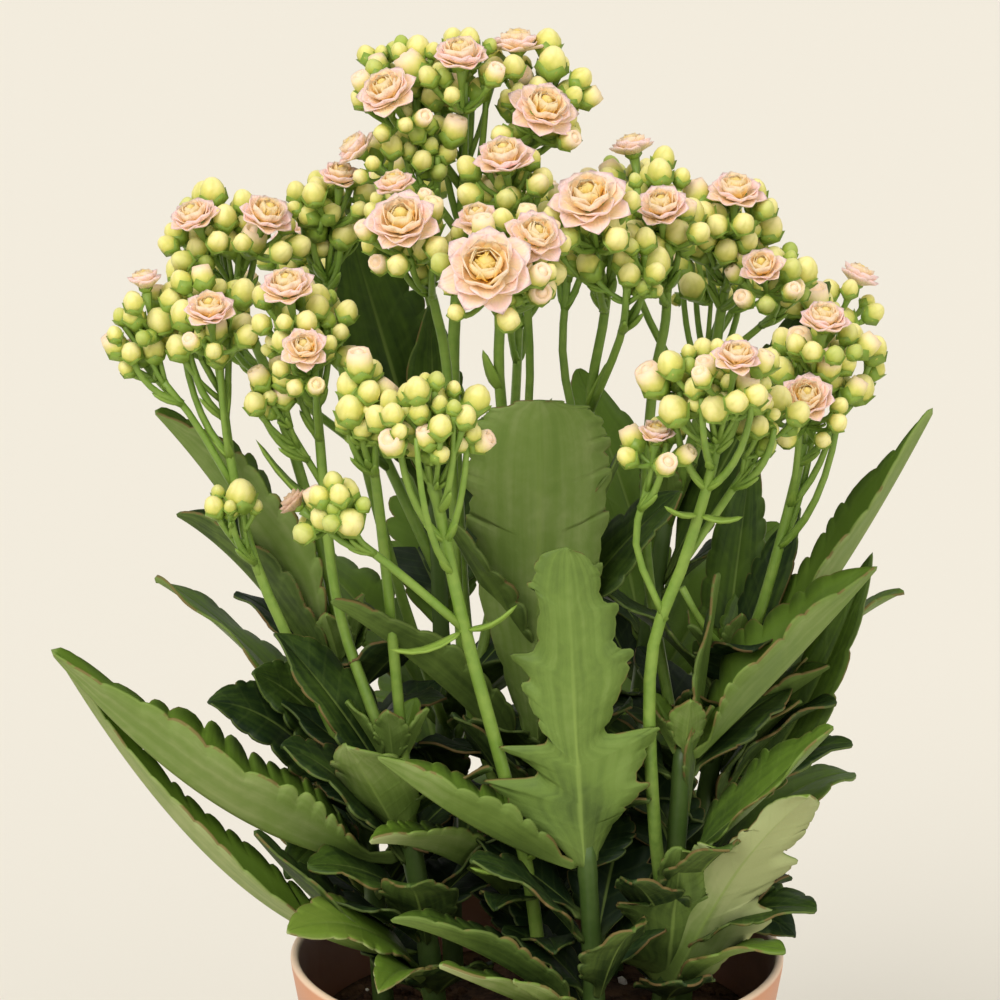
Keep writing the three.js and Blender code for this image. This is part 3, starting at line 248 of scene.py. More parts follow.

# Listed outlines: the share of the leaf's length and the half width, from root to tip.
LOBED_LEFT: Margin = [
    (0, 0.13), (0.085, 0.24), (0.18, 0.52), (0.25, 0.78), (0.32, 1.0), (0.345, 1.07), (0.35, 0.5),
    (0.4, 0.58), (0.445, 0.84), (0.462, 0.87), (0.465, 0.37), (0.52, 0.42), (0.577, 0.5),
    (0.64, 0.6), (0.66, 0.49), (0.72, 0.7), (0.73, 0.43), (0.8, 0.38), (0.88, 0.36),
    (0.915, 0.48), (0.93, 0.4), (0.96, 0.38), (0.985, 0.28), (1, 0),
]
LOBED_RIGHT: Margin = [
    (0, 0.13), (0.107, 0.31), (0.186, 0.5), (0.2, 0.54), (0.24, 0.66), (0.29, 0.87), (0.31, 0.7),
    (0.37, 0.82), (0.43, 0.98), (0.455, 1.04), (0.462, 0.9), (0.465, 0.4), (0.52, 0.46),
    (0.587, 0.55), (0.65, 0.66), (0.71, 0.75), (0.725, 0.56), (0.77, 0.55), (0.83, 0.61),
    (0.845, 0.43), (0.9, 0.4), (0.925, 0.39), (0.975, 0.22), (1, 0),
]
BLUNT_HALF: Margin = [
    (0, 0.12), (0.1, 0.14), (0.2, 0.2), (0.35, 0.4), (0.5, 0.6), (0.6, 0.76), (0.68, 0.87),
    (0.7, 0.82), (0.78, 0.96), (0.8, 0.9), (0.86, 1.0), (0.88, 0.95), (0.92, 0.97), (0.935, 0.9),
    (0.96, 0.85), (0.975, 0.7), (0.985, 0.66), (0.99, 0.4), (0.998, 0.3), (1, 0),
]
SPREAD_LEFT: Margin = [
    (0, 0.2), (0.03, 0.66), (0.06, 0.86), (0.1, 0.8), (0.11, 0.5), (0.15, 0.6), (0.2, 0.8),
    (0.24, 0.86), (0.26, 0.5), (0.32, 0.54), (0.4, 0.7), (0.48, 0.8), (0.52, 0.76), (0.54, 0.36),
    (0.6, 0.4), (0.66, 0.36), (0.68, 0.28), (0.78, 0.29), (0.88, 0.26), (0.95, 0.2),
    (0.985, 0.12), (1, 0),
]
SPREAD_RIGHT: Margin = [
    (0, 0.15), (0.05, 0.4), (0.1, 0.6), (0.16, 0.7), (0.22, 0.8), (0.33, 0.98), (0.385, 1.0),
    (0.4, 0.62), (0.47, 0.66), (0.55, 0.76), (0.62, 0.78), (0.64, 0.46), (0.7, 0.48), (0.78, 0.5),
    (0.82, 0.46), (0.86, 0.43), (0.93, 0.34), (0.96, 0.28), (0.98, 0.18), (0.99, 0.12),
    (0.995, 0.06), (1, 0),
]


@dataclass(frozen=True)
class Limb:
    """A stalk or a branch of it: its route, and its radius below and above."""

    route: tuple[Point, ...]
    low: float
    high: float


@dataclass(frozen=True)
class Head:
    """A head of buds: the limb that carries it, its centre, half sizes and number of buds."""

    limb: int
    centre: Point
    half: Point
    count: int


@dataclass(frozen=True)
class SprayPlan:
    """The limbs, heads and bracts of one flower stalk."""

    limbs: tuple[Limb, ...]
    heads: tuple[Head, ...]
    bracts: tuple[tuple[Point, Point, float], ...] = ()


SPRAYS: dict[str, SprayPlan] = {
    "front": SprayPlan(
        (Limb(((0, -20, STEM_DEPTH), (1, -24, 98), (-3, -30, 138), (-17, -46, 199), (-24, -54, 236)),
              1.9, 1.4),
         Limb(((-17, -46, 199), (-32, -52, 214), (-43, -56, 224)), 1.1, 0.9)),
        (Head(0, (-24, -58, 251), (13, 8, 10), 6), Head(1, (-46, -58, 231), (7, 5, 6), 2)),
        (((-17, -46, 199), (-34, -52, 196), 3), ((-17, -46, 199), (-5, -50, 206), 3),
         ((-3, -30, 138), (-16, -38, 139), 3), ((-3, -30, 138), (4, -34, 148), 3)),
    ),
    "front_left": SprayPlan(
        (Limb(((-28, -17, 125), (-32, -22, 165), (-35, -30, 205), (-37, -42, 231), (-38, -45, 238)),
              1.4, 1.1),),
        (Head(0, (-40, -50, 253), (6, 6, 10), 3),),
    ),
    "left": SprayPlan(
        (Limb(((-29, -17, 130), (-42, -13, 150), (-48, -12, 163), (-65, -14, 202), (-71, -14, 226),
               (-74, -14, 250)), 1.6, 1.1),
         Limb(((-70, -14, 222), (-80, -14, 240), (-87, -16, 250)), 0.9, 0.8),
         Limb(((-65, -14, 202), (-69, -17, 213)), 0.9, 0.8)),
        (Head(0, (-77, -16, 265), (13, 10, 10), 5), Head(1, (-92, -16, 260), (7, 7, 8), 2),
         Head(2, (-71, -19, 222), (6, 4, 3), 2)),
    ),
    "left_mid": SprayPlan(
        (Limb(((-34, -20, 157), (-40, -16, 173), (-46, -12, 190), (-49, -13, 208), (-51, -16, 237),
               (-52, -20, 250)), 1.5, 1.1),
         Limb(((-50, -13, 224), (-58, -20, 240)), 0.9, 0.8)),
        (Head(0, (-53, -26, 266), (12, 11, 11), 4), Head(1, (-62, -24, 250), (6, 5, 6), 2)),
        (((-50, -14, 220), (-66, -14, 236), 4),),
    ),
    "upper_left": SprayPlan(
        (Limb(((-46, 4, 174), (-51, 9, 200), (-62, 9, 240), (-70, 6, 262), (-72, 4, 270)), 1.5, 1.1),),
        (Head(0, (-74, 2, 283), (13, 12, 9), 5),),
    ),
    "upper_left_back": SprayPlan(
        (Limb(((-22, 34, 150), (-34, 26, 190), (-44, 14, 235), (-49, 8, 262), (-50, 6, 272)),
              1.5, 1.1),),
        (Head(0, (-50, 6, 286), (11, 11, 12), 5),),
    ),
    "top": SprayPlan(
        (Limb(((0, 2, 130), (-10, 8, 150), (-17, 10, 180), (-20, 8, 242), (-19, 6, 270),
               (-17, 4, 300)), 1.9, 1.3),
         Limb(((-18, 5, 292), (-25, 3, 302), (-29, 2, 307)), 1.1, 0.9),
         Limb(((-17, 4, 288), (-8, 4, 298), (-2, 4, 303)), 1.1, 0.9),
         Limb(((-18, 5, 280), (-24, -2, 290), (-27, -5, 294)), 1, 0.9)),
        (Head(0, (-18, 2, 320), (11, 10, 9), 3), Head(1, (-34, 3, 317), (10, 9, 10), 4),
         Head(2, (2, 4, 314), (10, 9, 13), 4), Head(3, (-27, -6, 303), (9, 6, 7), 2)),
    ),
    "centre_left": SprayPlan(
        (Limb(((0, 2, 122), (-11, -2, 150), (-18, -3, 180), (-21, -4, 245), (-24, -10, 266),
               (-26, -13, 273)), 1.5, 1.1),),
        (Head(0, (-28, -26, 284), (11, 10, 9), 3),),
    ),
    "centre": SprayPlan(
        (Limb(((0, 0, 186), (-5, -6, 215), (-9, -12, 247), (-9, -20, 266), (-9, -26, 273)), 1.5, 1.1),
         Limb(((-5, -5, 212), (-2, 1, 245), (-3, -4, 270), (-5, -8, 284)), 1.1, 0.9)),
        (Head(0, (-6, -44, 282), (13, 12, 8), 3), Head(1, (-6, -12, 296), (9, 8, 7), 2)),
        (((-9, -12, 247), (-13, -17, 258), 3),),
    ),
    "centre_right": SprayPlan(
        (Limb(((0, 2, 140), (8, 4, 170), (11, 2, 200), (12, -4, 241), (15, -8, 262), (16, -11, 272)),
              1.5, 1.1),
         Limb(((12, -1, 224), (6, 3, 250), (7, 5, 272)), 1.1, 0.9),
         Limb(((12, -4, 240), (18, -16, 258), (20, -22, 268)), 1, 0.9)),
        (Head(0, (13, -20, 286), (12, 11, 10), 3), Head(1, (8, 6, 285), (8, 8, 8), 2),
         Head(2, (22, -28, 279), (7, 7, 7), 2)),
        (((12, -4, 241), (17, -7, 254), 5),),
    ),
    "mid_right": SprayPlan(
        (Limb(((39, 5, 130), (31, 10, 170), (26, 11, 205), (27, 7, 241), (30, 4, 260), (30, 1, 272)),
              1.5, 1.1),),
        (Head(0, (28, -2, 287), (11, 12, 12), 5),),
    ),
    "upper_right": SprayPlan(
        (Limb(((32, 36, 202), (37, 30, 222), (42, 21, 246), (44, 16, 262), (45, 13, 269)), 1.5, 1.1),
         Limb(((42, 21, 246), (52, 14, 256), (57, 10, 262)), 0.9, 0.8)),
        (Head(0, (45, 8, 282), (13, 12, 11), 5), Head(1, (59, 6, 271), (6, 6, 7), 2)),
    ),
    "right_front": SprayPlan(
        (Limb(((31, -23, 115), (27, -30, 150), (26, -35, 189), (33, -42, 214), (38, -48, 234),
               (40, -51, 245)), 1.7, 1.2),
         Limb(((29, -38, 199), (22, -42, 218), (25, -48, 236)), 0.9, 0.8),
         Limb(((33, -42, 214), (42, -42, 228), (48, -44, 238)), 1, 0.9)),
        (Head(0, (38, -56, 259), (14, 9, 10), 6), Head(1, (27, -50, 245), (4, 4, 4), 1),
         Head(2, (51, -48, 249), (8, 7, 8), 2)),
        (((36, -46, 226), (28, -50, 229), 3), ((36, -46, 226), (46, -48, 226), 3)),
    ),
    "right": SprayPlan(
        (Limb(((46, 2, 172), (52, -7, 190), (58, -11, 215), (63, -14, 240)), 1.5, 1.1),
         Limb(((48, -1, 178), (40, -8, 188), (34, -10, 199)), 0.9, 0.8)),
        (Head(0, (66, -18, 254), (14, 11, 10), 6),),
    ),
    "back_left": SprayPlan(
        (Limb(((-24, 35, 190), (-36, 42, 215), (-46, 46, 236), (-52, 46, 252)), 1.5, 1.1),
         Limb(((-36, 42, 215), (-60, 34, 236), (-72, 28, 248)), 1.1, 0.9)),
        (Head(0, (-54, 47, 268), (13, 12, 11), 3), Head(1, (-78, 26, 262), (12, 11, 10), 3)),
    ),
    "back": SprayPlan(
        (Limb(((-22, 34, 140), (-12, 44, 175), (-6, 50, 220), (-4, 52, 258)), 1.5, 1.1),
         Limb(((-8, 48, 205), (-24, 40, 250), (-29, 36, 272)), 1.1, 0.9)),
        (Head(0, (-3, 53, 275), (14, 12, 11), 4), Head(1, (-30, 34, 287), (11, 10, 9), 2)),
        (((-6, 50, 220), (4, 56, 230), 4),),
    ),
    "back_right": SprayPlan(
        (Limb(((25, 34, 160), (36, 44, 195), (41, 48, 230), (42, 48, 246)), 1.5, 1.1),
         Limb(((36, 44, 195), (58, 36, 228), (66, 33, 244)), 1.1, 0.9),
         Limb(((41, 48, 226), (26, 42, 256), (22, 38, 272)), 1, 0.9)),
        (Head(0, (43, 50, 262), (13, 12, 11), 3), Head(1, (69, 32, 258), (12, 11, 10), 2),
         Head(2, (20, 36, 286), (10, 10, 9), 2)),
    ),
}


@dataclass(frozen=True)
class FlowerPlan:
    """An open flower: its spray and head, centre, width and how far it has opened."""

    spray: str
    head: int
    centre: Point
    width: float
    opened: float
    faded: float = 0.0


FLOWERS: list[FlowerPlan] = [
    FlowerPlan("centre", 0, (-12, -62, 286), 19, 1),
    FlowerPlan("centre", 0, (-1, -51, 291), 13, 0.8),
    FlowerPlan("centre_right", 0, (11, -37, 297), 17, 0.9),
    FlowerPlan("centre_left", 0, (-31, -39, 292), 16, 0.6),
    FlowerPlan("centre", 1, (-8, -20, 303), 14, 0.5),
    FlowerPlan("top", 2, (1, -9, 313), 15, 0.9),
    FlowerPlan("top", 2, (-5, 6, 326), 12, 0.8),
    FlowerPlan("top", 0, (-18, -9, 325), 13, 0.5),
    FlowerPlan("top", 1, (-35, -10, 317), 14, 0.7),
    FlowerPlan("top", 3, (-42, -6, 303), 11, 0.5),
    FlowerPlan("centre_left", 0, (-33, -20, 297), 10, 0.5),
    FlowerPlan("centre", 0, (-14, -36, 292), 11, 0.6),
    FlowerPlan("mid_right", 0, (28, -17, 291), 13, 0.5),
    FlowerPlan("mid_right", 0, (22, 8, 301), 11, 0.6),
    FlowerPlan("upper_right", 0, (46, 1, 292), 13, 0.8),
    FlowerPlan("upper_right", 1, (52, -6, 275), 11, 0.5),
    FlowerPlan("upper_left", 0, (-63, -9, 288), 13, 0.7),
    FlowerPlan("upper_left", 0, (-80, -6, 287), 12, 0.6),
    FlowerPlan("upper_left_back", 0, (-46, -4, 296), 10, 0.4),
    FlowerPlan("left_mid", 0, (-53, -44, 264), 11, 0.7),
    FlowerPlan("left_mid", 0, (-57, -35, 276), 13, 0.5),
    FlowerPlan("left", 0, (-75, -31, 270), 12, 0.5),
    FlowerPlan("left", 1, (-91, -14, 273), 9, 0.2),
    FlowerPlan("right", 0, (65, -28, 267), 12, 0.5),
    FlowerPlan("right", 0, (61, -34, 250), 13, 0.4),
    FlowerPlan("right_front", 0, (43, -67, 267), 11, 0.7),
    FlowerPlan("right_front", 1, (26, -53, 246), 9, 0.2),
    FlowerPlan("front", 1, (-55, -52, 230), 8, 0.2, faded=0.8),
    FlowerPlan("back", 0, (2, 66, 280), 14, 0.9),
    FlowerPlan("back", 1, (-32, 44, 292), 12, 0.7),
    FlowerPlan("back_left", 0, (-60, 60, 270), 13, 0.8),
    FlowerPlan("back_right", 0, (50, 62, 266), 14, 0.8),
    FlowerPlan("back_right", 1, (78, 38, 264), 11, 0.5),
]


# ---- random draws and curves


class Lottery:
    """Repeatable random numbers, drawn by the same rule as the solids draw theirs."""

    STEP = 16807
    MODULUS = 2147483647

    def __init__(self, seed: int) -> None:
        """Starts the row of numbers at a seed."""
        self.state = seed

    def draw(self) -> float:
        """Gives the next number between 0 and 1."""
        self.state = (self.state * self.STEP) % self.MODULUS
        return self.state / self.MODULUS

    def between(self, low: float, high: float) -> float:
        """Gives the next number between low and high."""
        return low + (high - low) * self.draw()


class Route:
    """A smooth curve through points, bent as the solids' curves are."""

    DIVISIONS = 200

    def __init__(self, points: Sequence[Point]) -> None:
        """Lays the curve and measures it.

        Args:
            points: The points that it passes through, in mm.
        """
        self.points = [np.array(point, float) for point in points]
        lead = 2 * self.points[0] - self.points[1]
        tail = 2 * self.points[-1] - self.points[-2]
        self.guides = [lead, *self.points, tail]
        places = np.array([self.at(k / self.DIVISIONS) for k in range(self.DIVISIONS + 1)])
        self.length = float(np.linalg.norm(np.diff(places, axis=0), axis=1).sum())

    def at(self, share: float) -> np.ndarray:
        """Gives the point at a share of the curve, from 0 at its start to 1 at its end."""
        spans = len(self.points) - 1
        place = share * spans
        index = min(int(place), spans - 1)
        t = place - index
        before, start, end, after = self.guides[index:index + 4]
        leaving = 0.5 * (end - before)
        arriving = 0.5 * (after - start)
        square = -3 * start + 3 * end - 2 * leaving - arriving
        cube = 2 * start - 2 * end + leaving + arriving
        return start + leaving * t + square * t * t + cube * t * t * t

    def at_height(self, height: float) -> np.ndarray:
        """Gives the point of a rising curve at a height, by halving."""
        low, high = 0.0, 1.0
        for _ in range(24):
            middle = (low + high) / 2
            if self.at(middle)[2] < height:
                low = middle
            else:
                high = middle
        return self.at(low)


def unit(vector: np.ndarray) -> np.ndarray:
    """Gives a vector the length 1."""
    return vector / (np.linalg.norm(vector) or 1.0)


def towards(start: np.ndarray, end: np.ndarray, step: float) -> np.ndarray:
    """Gives a level step of a given length from one point towards another."""
    level = np.array([end[0] - start[0], end[1] - start[1], 0.0])
    return unit(level) * step


def gap_to_lines(points: np.ndarray, starts: np.ndarray, ends: np.ndarray) -> np.ndarray:
    """Gives the distances from points to the straight lines between starts and ends."""
    along = ends - starts
    share = ((points - starts) * along).sum(-1) / (along * along).sum(-1)
    nearest = starts + np.clip(share, 0, 1)[..., None] * along
    return np.linalg.norm(nearest - points, axis=-1)


def facing_matrix(place: np.ndarray, facing: np.ndarray) -> Matrix:
    """Gives the matrix that stands a shape at a place with its +Z turned to a direction."""
    turn = Vector(unit(facing)).to_track_quat("Z", "Y").to_matrix().to_4x4()
    return Matrix.Translation(Vector(place)) @ turn


# ---- colours and shader nodes


def srgb(red: float, green: float, blue: float) -> Colour:
    """Turns a colour as a picture stores it, 0 to 255, into the linear one of the nodes."""
    linear = []
    for part in (red, green, blue):
        share = part / 255
        linear.append(share / 12.92 if share <= 0.04045 else ((share + 0.055) / 1.055) ** 2.4)
    return (*linear, 1.0)


class NodeTable:
    """Short ways to add and link nodes in one node tree."""

    def __init__(self, tree: bpy.types.NodeTree) -> None:
        """Takes the tree that the nodes go into."""
        self.tree = tree

    def feed(self, socket: bpy.types.NodeSocket, value: object) -> None:
        """Links a socket to a socket, or sets its number or colour."""
        if isinstance(value, bpy.types.NodeSocket):
            self.tree.links.new(value, socket)
        else:
            socket.default_value = value

    def add(self, kind: str, **inputs: object) -> bpy.types.Node:
        """Adds a node.

        Args:
            kind: The node's type.
            inputs: What goes into its sockets, with _ for a space in a socket's name.

        Returns:
            The new node.
        """
        node = self.tree.nodes.new(kind)
        for name, value in inputs.items():
            self.feed(node.inputs[name.replace("_", " ")], value)
        return node

    def maths(self, operation: str, first: object, second: object = 0.0) -> bpy.types.NodeSocket:
        """Adds a sum, product or other step of arithmetic and gives its result."""
        node = self.tree.nodes.new("ShaderNodeMath")
        node.operation = operation
        self.feed(node.inputs[0], first)
        self.feed(node.inputs[1], second)
        return node.outputs[0]

    def mix(self, share: object, first: object, second: object) -> bpy.types.NodeSocket:
        """Blends two colours and gives the result."""
        node = self.tree.nodes.new("ShaderNodeMix")
        node.data_type = "RGBA"
        self.feed(node.inputs[0], share)
        self.feed(node.inputs[6], first)
        self.feed(node.inputs[7], second)
        return node.outputs[2]

    def stretch(
        self, value: object, low: float, high: float, start: float = 0.0, end: float = 1.0
    ) -> bpy.types.NodeSocket:
        """Spreads a value from low..high to start..end, smoothly and held at both ends."""
        node = self.tree.nodes.new("ShaderNodeMapRange")
        node.interpolation_type = "SMOOTHSTEP"
        for place, number in enumerate((value, low, high, start, end)):
            self.feed(node.inputs[place], number)
        return node.outputs[0]

    def mark(self, mark: Mark) -> bpy.types.NodeSocket:
        """Reads one of the mesh's own numbers."""
        node = self.tree.nodes.new("ShaderNodeAttribute")
        node.attribute_name = mark.value
        return node.outputs["Fac"]

    def height(self) -> bpy.types.NodeSocket:
        """Reads the height above the floor, in metres."""
        place = self.tree.nodes.new("ShaderNodeTexCoord").outputs["Object"]
        return self.add("ShaderNodeSeparateXYZ", Vector=place).outputs["Z"]

    def group(self, tree: bpy.types.NodeTree, **inputs: object) -> bpy.types.Node:
        """Places a node group with its own values."""
        node = self.tree.nodes.new("ShaderNodeGroup")
        node.node_tree = tree
        for name, value in inputs.items():
            self.feed(node.inputs[name.replace("_", " ")], value)
        return node


class SharedEffects:
    """The node groups that more than one finish uses, each built once."""

    def __init__(self) -> None:
        """Builds the groups."""
        self.mottle = self._mottle()
        self.pores = self._pores()

    @staticmethod
    def _shell(name: str, inputs: dict[str, float], output: tuple[str, str]) -> NodeTable:
        """Starts a group with its named sockets and gives its node table."""
        tree = bpy.data.node_groups.new(name, "ShaderNodeTree")
        for label, default in inputs.items():
            socket = tree.interface.new_socket(label, in_out="INPUT", socket_type="NodeSocketFloat")
            socket.default_value = default
        tree.interface.new_socket(output[0], in_out="OUTPUT", socket_type=output[1])
        return NodeTable(tree)

    def _mottle(self) -> bpy.types.NodeTree:
        """Soft patches with finer ones in them, a mask from 0 to 1."""
        table = self._shell("soft_mottle", {"Scale": 60.0, "Fine": 4.0}, ("Mask", "NodeSocketFloat"))
        ins = table.tree.nodes.new("NodeGroupInput")
        outs = table.tree.nodes.new("NodeGroupOutput")
        place = table.tree.nodes.new("ShaderNodeTexCoord").outputs["Object"]
        broad = table.add("ShaderNodeTexNoise", Vector=place, Scale=ins.outputs["Scale"], Detail=3.0)
        fine_scale = table.maths("MULTIPLY", ins.outputs["Scale"], ins.outputs["Fine"])
        fine = table.add("ShaderNodeTexNoise", Vector=place, Scale=fine_scale, Detail=2.0)
        both = table.maths(
            "ADD",
            table.maths("MULTIPLY", broad.outputs[0], 0.7),
            table.maths("MULTIPLY", fine.outputs[0], 0.3),
        )
        table.feed(outs.inputs[0], table.stretch(both, 0.34, 0.66))
        return table.tree

    def _pores(self) -> bpy.types.NodeTree:
        """A fine uneven skin, as a normal."""
        table = self._shell(
            "fine_pores", {"Scale": 900.0, "Strength": 0.2, "Depth": 0.0003},
            ("Normal", "NodeSocketVector"))
        ins = table.tree.nodes.new("NodeGroupInput")
        outs = table.tree.nodes.new("NodeGroupOutput")
        place = table.tree.nodes.new("ShaderNodeTexCoord").outputs["Object"]
        grain = table.add("ShaderNodeTexNoise", Vector=place, Scale=ins.outputs["Scale"], Detail=4.0)
        bump = table.add(
            "ShaderNodeBump",
            Strength=ins.outputs["Strength"],
            Distance=ins.outputs["Depth"],
            Height=grain.outputs[0],
        )
        table.feed(outs.inputs[0], bump.outputs[0])
        return table.tree


EFFECTS = SharedEffects()


class Finish:
    """A procedural material. Each kind fills in its own nodes."""

    name = "finish"

    def __init__(self) -> None:
        """Makes the material and its shader, and lets the kind colour it."""
        self.material = bpy.data.materials.new(self.name)
        self.material.use_nodes = True
        self.table = NodeTable(self.material.node_tree)
        self.shader = self.material.node_tree.nodes["Principled BSDF"]
        self.colour(self.table)

    def colour(self, table: NodeTable) -> None:
        """Builds the nodes that feed the shader."""
        raise NotImplementedError

    def set(self, **sockets: object) -> None:
        """Sets or links sockets of the shader, with _ for a space in a name."""
        for name, value in sockets.items():
            self.table.feed(self.shader.inputs[name.replace("_", " ")], value)


class LeafSkin(Finish):
    """Fleshy leaf: dull green above, paler and greyer below, with a pale midrib, and darkened with
    painted shade deep in the plant.
    """

    name = "leaf_skin"
    # near black-green of painted shade, for leaves of low tone deep in the plant
    PAINTED_SHADE = srgb(24, 42, 18)
    GREEN = srgb(94, 122, 38)
    BLOOM = srgb(116, 138, 52)
    UNDERSIDE = srgb(110, 134, 60)
    PALE_UNDERSIDE = srgb(166, 174, 120)
    RIB = srgb(136, 158, 78)
    EDGE = srgb(138, 156, 80)
    RED_EDGE = srgb(120, 82, 54)
    # Painted shade: leaves nearer the axis than these distances and lower than these heights, in m, are
    # darkened.
    PAINTED_SHADE_REACH = (0.03, 0.075)
    PAINTED_SHADE_HEIGHT = (0.11, 0.19)

    def colour(self, table: NodeTable) -> None:
        """Colours the skin by the place on the leaf and by the leaf's own shade, with painted shade low
        among the stems near the axis.
        """
        rise = table.mark(Mark.RISE)
        side = table.maths("ABSOLUTE", table.mark(Mark.SIDE))
        # the leaf's tone, darkened by painted shade near the axis and low down
        tone = table.maths("MULTIPLY", table.mark(Mark.TONE), self._painted_light_share(table, rise))
        patches = table.group(EFFECTS.mottle, Scale=70.0, Fine=5.0).outputs[0]
        streaks = self._streaks(table, rise)
        uneven = table.maths("ADD", table.maths("MULTIPLY", patches, 0.12),
                             table.stretch(streaks, 0.3, 0.7, -0.05, 0.05))
        mixed = table.maths("ADD", table.maths("MULTIPLY", tone, 0.88), uneven)
        # low tones turn to the painted shade colour, on the upper and the lower face
        upper = table.mix(table.stretch(mixed, 0.05, 0.6), self.PAINTED_SHADE, self.GREEN)
        upper = table.mix(table.stretch(mixed, 0.65, 1.2), upper, self.BLOOM)
        lower = table.mix(table.stretch(mixed, 0.0, 0.5), self.PAINTED_SHADE, self.UNDERSIDE)
        lower = table.mix(table.stretch(mixed, 0.4, 0.9), lower, self.PALE_UNDERSIDE)
        skin = table.mix(table.mark(Mark.UNDER), upper, lower)
        veins = self._veins(table, rise, side)
        skin = table.mix(table.maths("MULTIPLY", veins, 0.04), skin, self.RIB)
        rib = table.maths(
            "MULTIPLY", table.stretch(side, 0.01, 0.06, 1, 0), table.stretch(rise, 0.4, 1, 0.6, 0.05))
        skin = table.mix(rib, skin, self.RIB)
        skin = table.mix(table.stretch(side, 0.95, 1, 0, 0.25), skin, self.EDGE)
        reddened = table.maths("MULTIPLY", table.stretch(side, 0.97, 1, 0, 0.6),
                               table.stretch(patches, 0.45, 0.7))
        skin = table.mix(reddened, skin, self.RED_EDGE)
        skin = table.mix(table.stretch(rise, 0, 0.2, 0.4, 0), skin, self.RIB)
        relief = table.maths("ADD", table.maths("MULTIPLY", veins, 0.4), rib)
        pores = table.group(EFFECTS.pores, Scale=1500.0, Strength=0.25, Depth=0.0002)
        bump = table.add("ShaderNodeBump", Strength=0.2, Distance=0.0004, Height=relief,
                         Normal=pores.outputs[0])
        self.set(Base_Color=skin, Normal=bump.outputs[0],
                 Roughness=table.stretch(patches, 0, 1, 0.5, 0.66))
        self.set(Specular_IOR_Level=0.2)

    def _painted_light_share(self, table: NodeTable, rise: bpy.types.NodeSocket) -> bpy.types.NodeSocket:
        """Painted light and shade: how far out in the light a leaf stands, from 0.35 low among the
        stems, where it is painted shaded, to 1 outside.
        """
        place = table.tree.nodes.new("ShaderNodeTexCoord").outputs["Object"]
        flat = table.add("ShaderNodeVectorMath", Vector=place)
        flat.operation = "MULTIPLY"
        flat.inputs[1].default_value = (1, 1, 0)
        reach = table.add("ShaderNodeVectorMath", Vector=flat.outputs["Vector"])
        reach.operation = "LENGTH"
        outside = table.stretch(reach.outputs["Value"], *self.PAINTED_SHADE_REACH)
        above = table.stretch(table.height(), *self.PAINTED_SHADE_HEIGHT)
        tip = table.stretch(rise, 0.3, 1.0, 0.0, 0.5)
        free = table.maths("MAXIMUM", table.maths("MAXIMUM", outside, above), tip)
        return table.stretch(free, 0, 1, 0.35, 1)

    @staticmethod
    def _streaks(table: NodeTable, rise: bpy.types.NodeSocket) -> bpy.types.NodeSocket:
        """Faint streaks along the blade, other ones on each leaf."""
        place = table.add(
            "ShaderNodeCombineXYZ", X=table.maths("MULTIPLY", table.mark(Mark.SIDE), 4.0),
            Y=table.maths("MULTIPLY", rise, 1.4),
            Z=table.maths("MULTIPLY", table.mark(Mark.TONE), 40.0))
        noise = table.add("ShaderNodeTexNoise", Vector=place.outputs[0], Scale=1.6, Detail=3.0)
        return noise.outputs[0]

    @staticmethod
    def _veins(
        table: NodeTable, rise: bpy.types.NodeSocket, side: bpy.types.NodeSocket
    ) -> bpy.types.NodeSocket:
        """Side veins that sweep forward from the midrib, a mask from 0 to 1."""
        swept = table.maths("SUBTRACT", rise, table.maths("MULTIPLY", side, 0.12))
        phase = table.maths("FRACT", table.maths("MULTIPLY", swept, 9.0))
        off_line = table.maths("ABSOLUTE", table.maths("SUBTRACT", phase, 0.5))
        return table.stretch(off_line, 0.02, 0.14, 1, 0)


class StalkSkin(Finish):
    """Smooth green stalks, deeper in colour towards the foot, which is painted shade."""

    name = "stalk_skin"
    PAINTED_FOOT_SHADE = srgb(70, 98, 34)
    GREEN = srgb(116, 148, 56)
    PALE = srgb(152, 176, 80)
    SEPAL = srgb(142, 170, 60)
    OLD = srgb(62, 84, 36)

    def colour(self, table: NodeTable) -> None:
        """Colours the stalks by height, painted shaded low down unless they stand in the light, with
        soft patches.
        """
        height = table.height()
        patches = table.group(EFFECTS.mottle, Scale=120.0, Fine=4.0).outputs[0]
        # painted light and shade: stalks below 0.1 m are painted shaded, those above 0.2 m or marked as
        # in the light are painted lit
        lit = table.maths("MAXIMUM", table.stretch(height, 0.1, 0.2), table.mark(Mark.UNDER))
        skin = table.mix(lit, self.PAINTED_FOOT_SHADE, self.GREEN)
        skin = table.mix(table.maths("MULTIPLY", patches, 0.45), skin, self.PALE)
        skin = table.mix(table.maths("MULTIPLY", table.mark(Mark.TONE), 0.6), skin, self.SEPAL)
        skin = table.mix(table.maths("MULTIPLY", table.mark(Mark.FADE), 0.85), skin, self.OLD)
        pores = table.group(EFFECTS.pores, Scale=1800.0, Strength=0.2, Depth=0.0002)
        self.set(Base_Color=skin, Normal=pores.outputs[0],
                 Roughness=table.stretch(patches, 0, 1, 0.4, 0.55))
        self.set(Specular_IOR_Level=0.4)


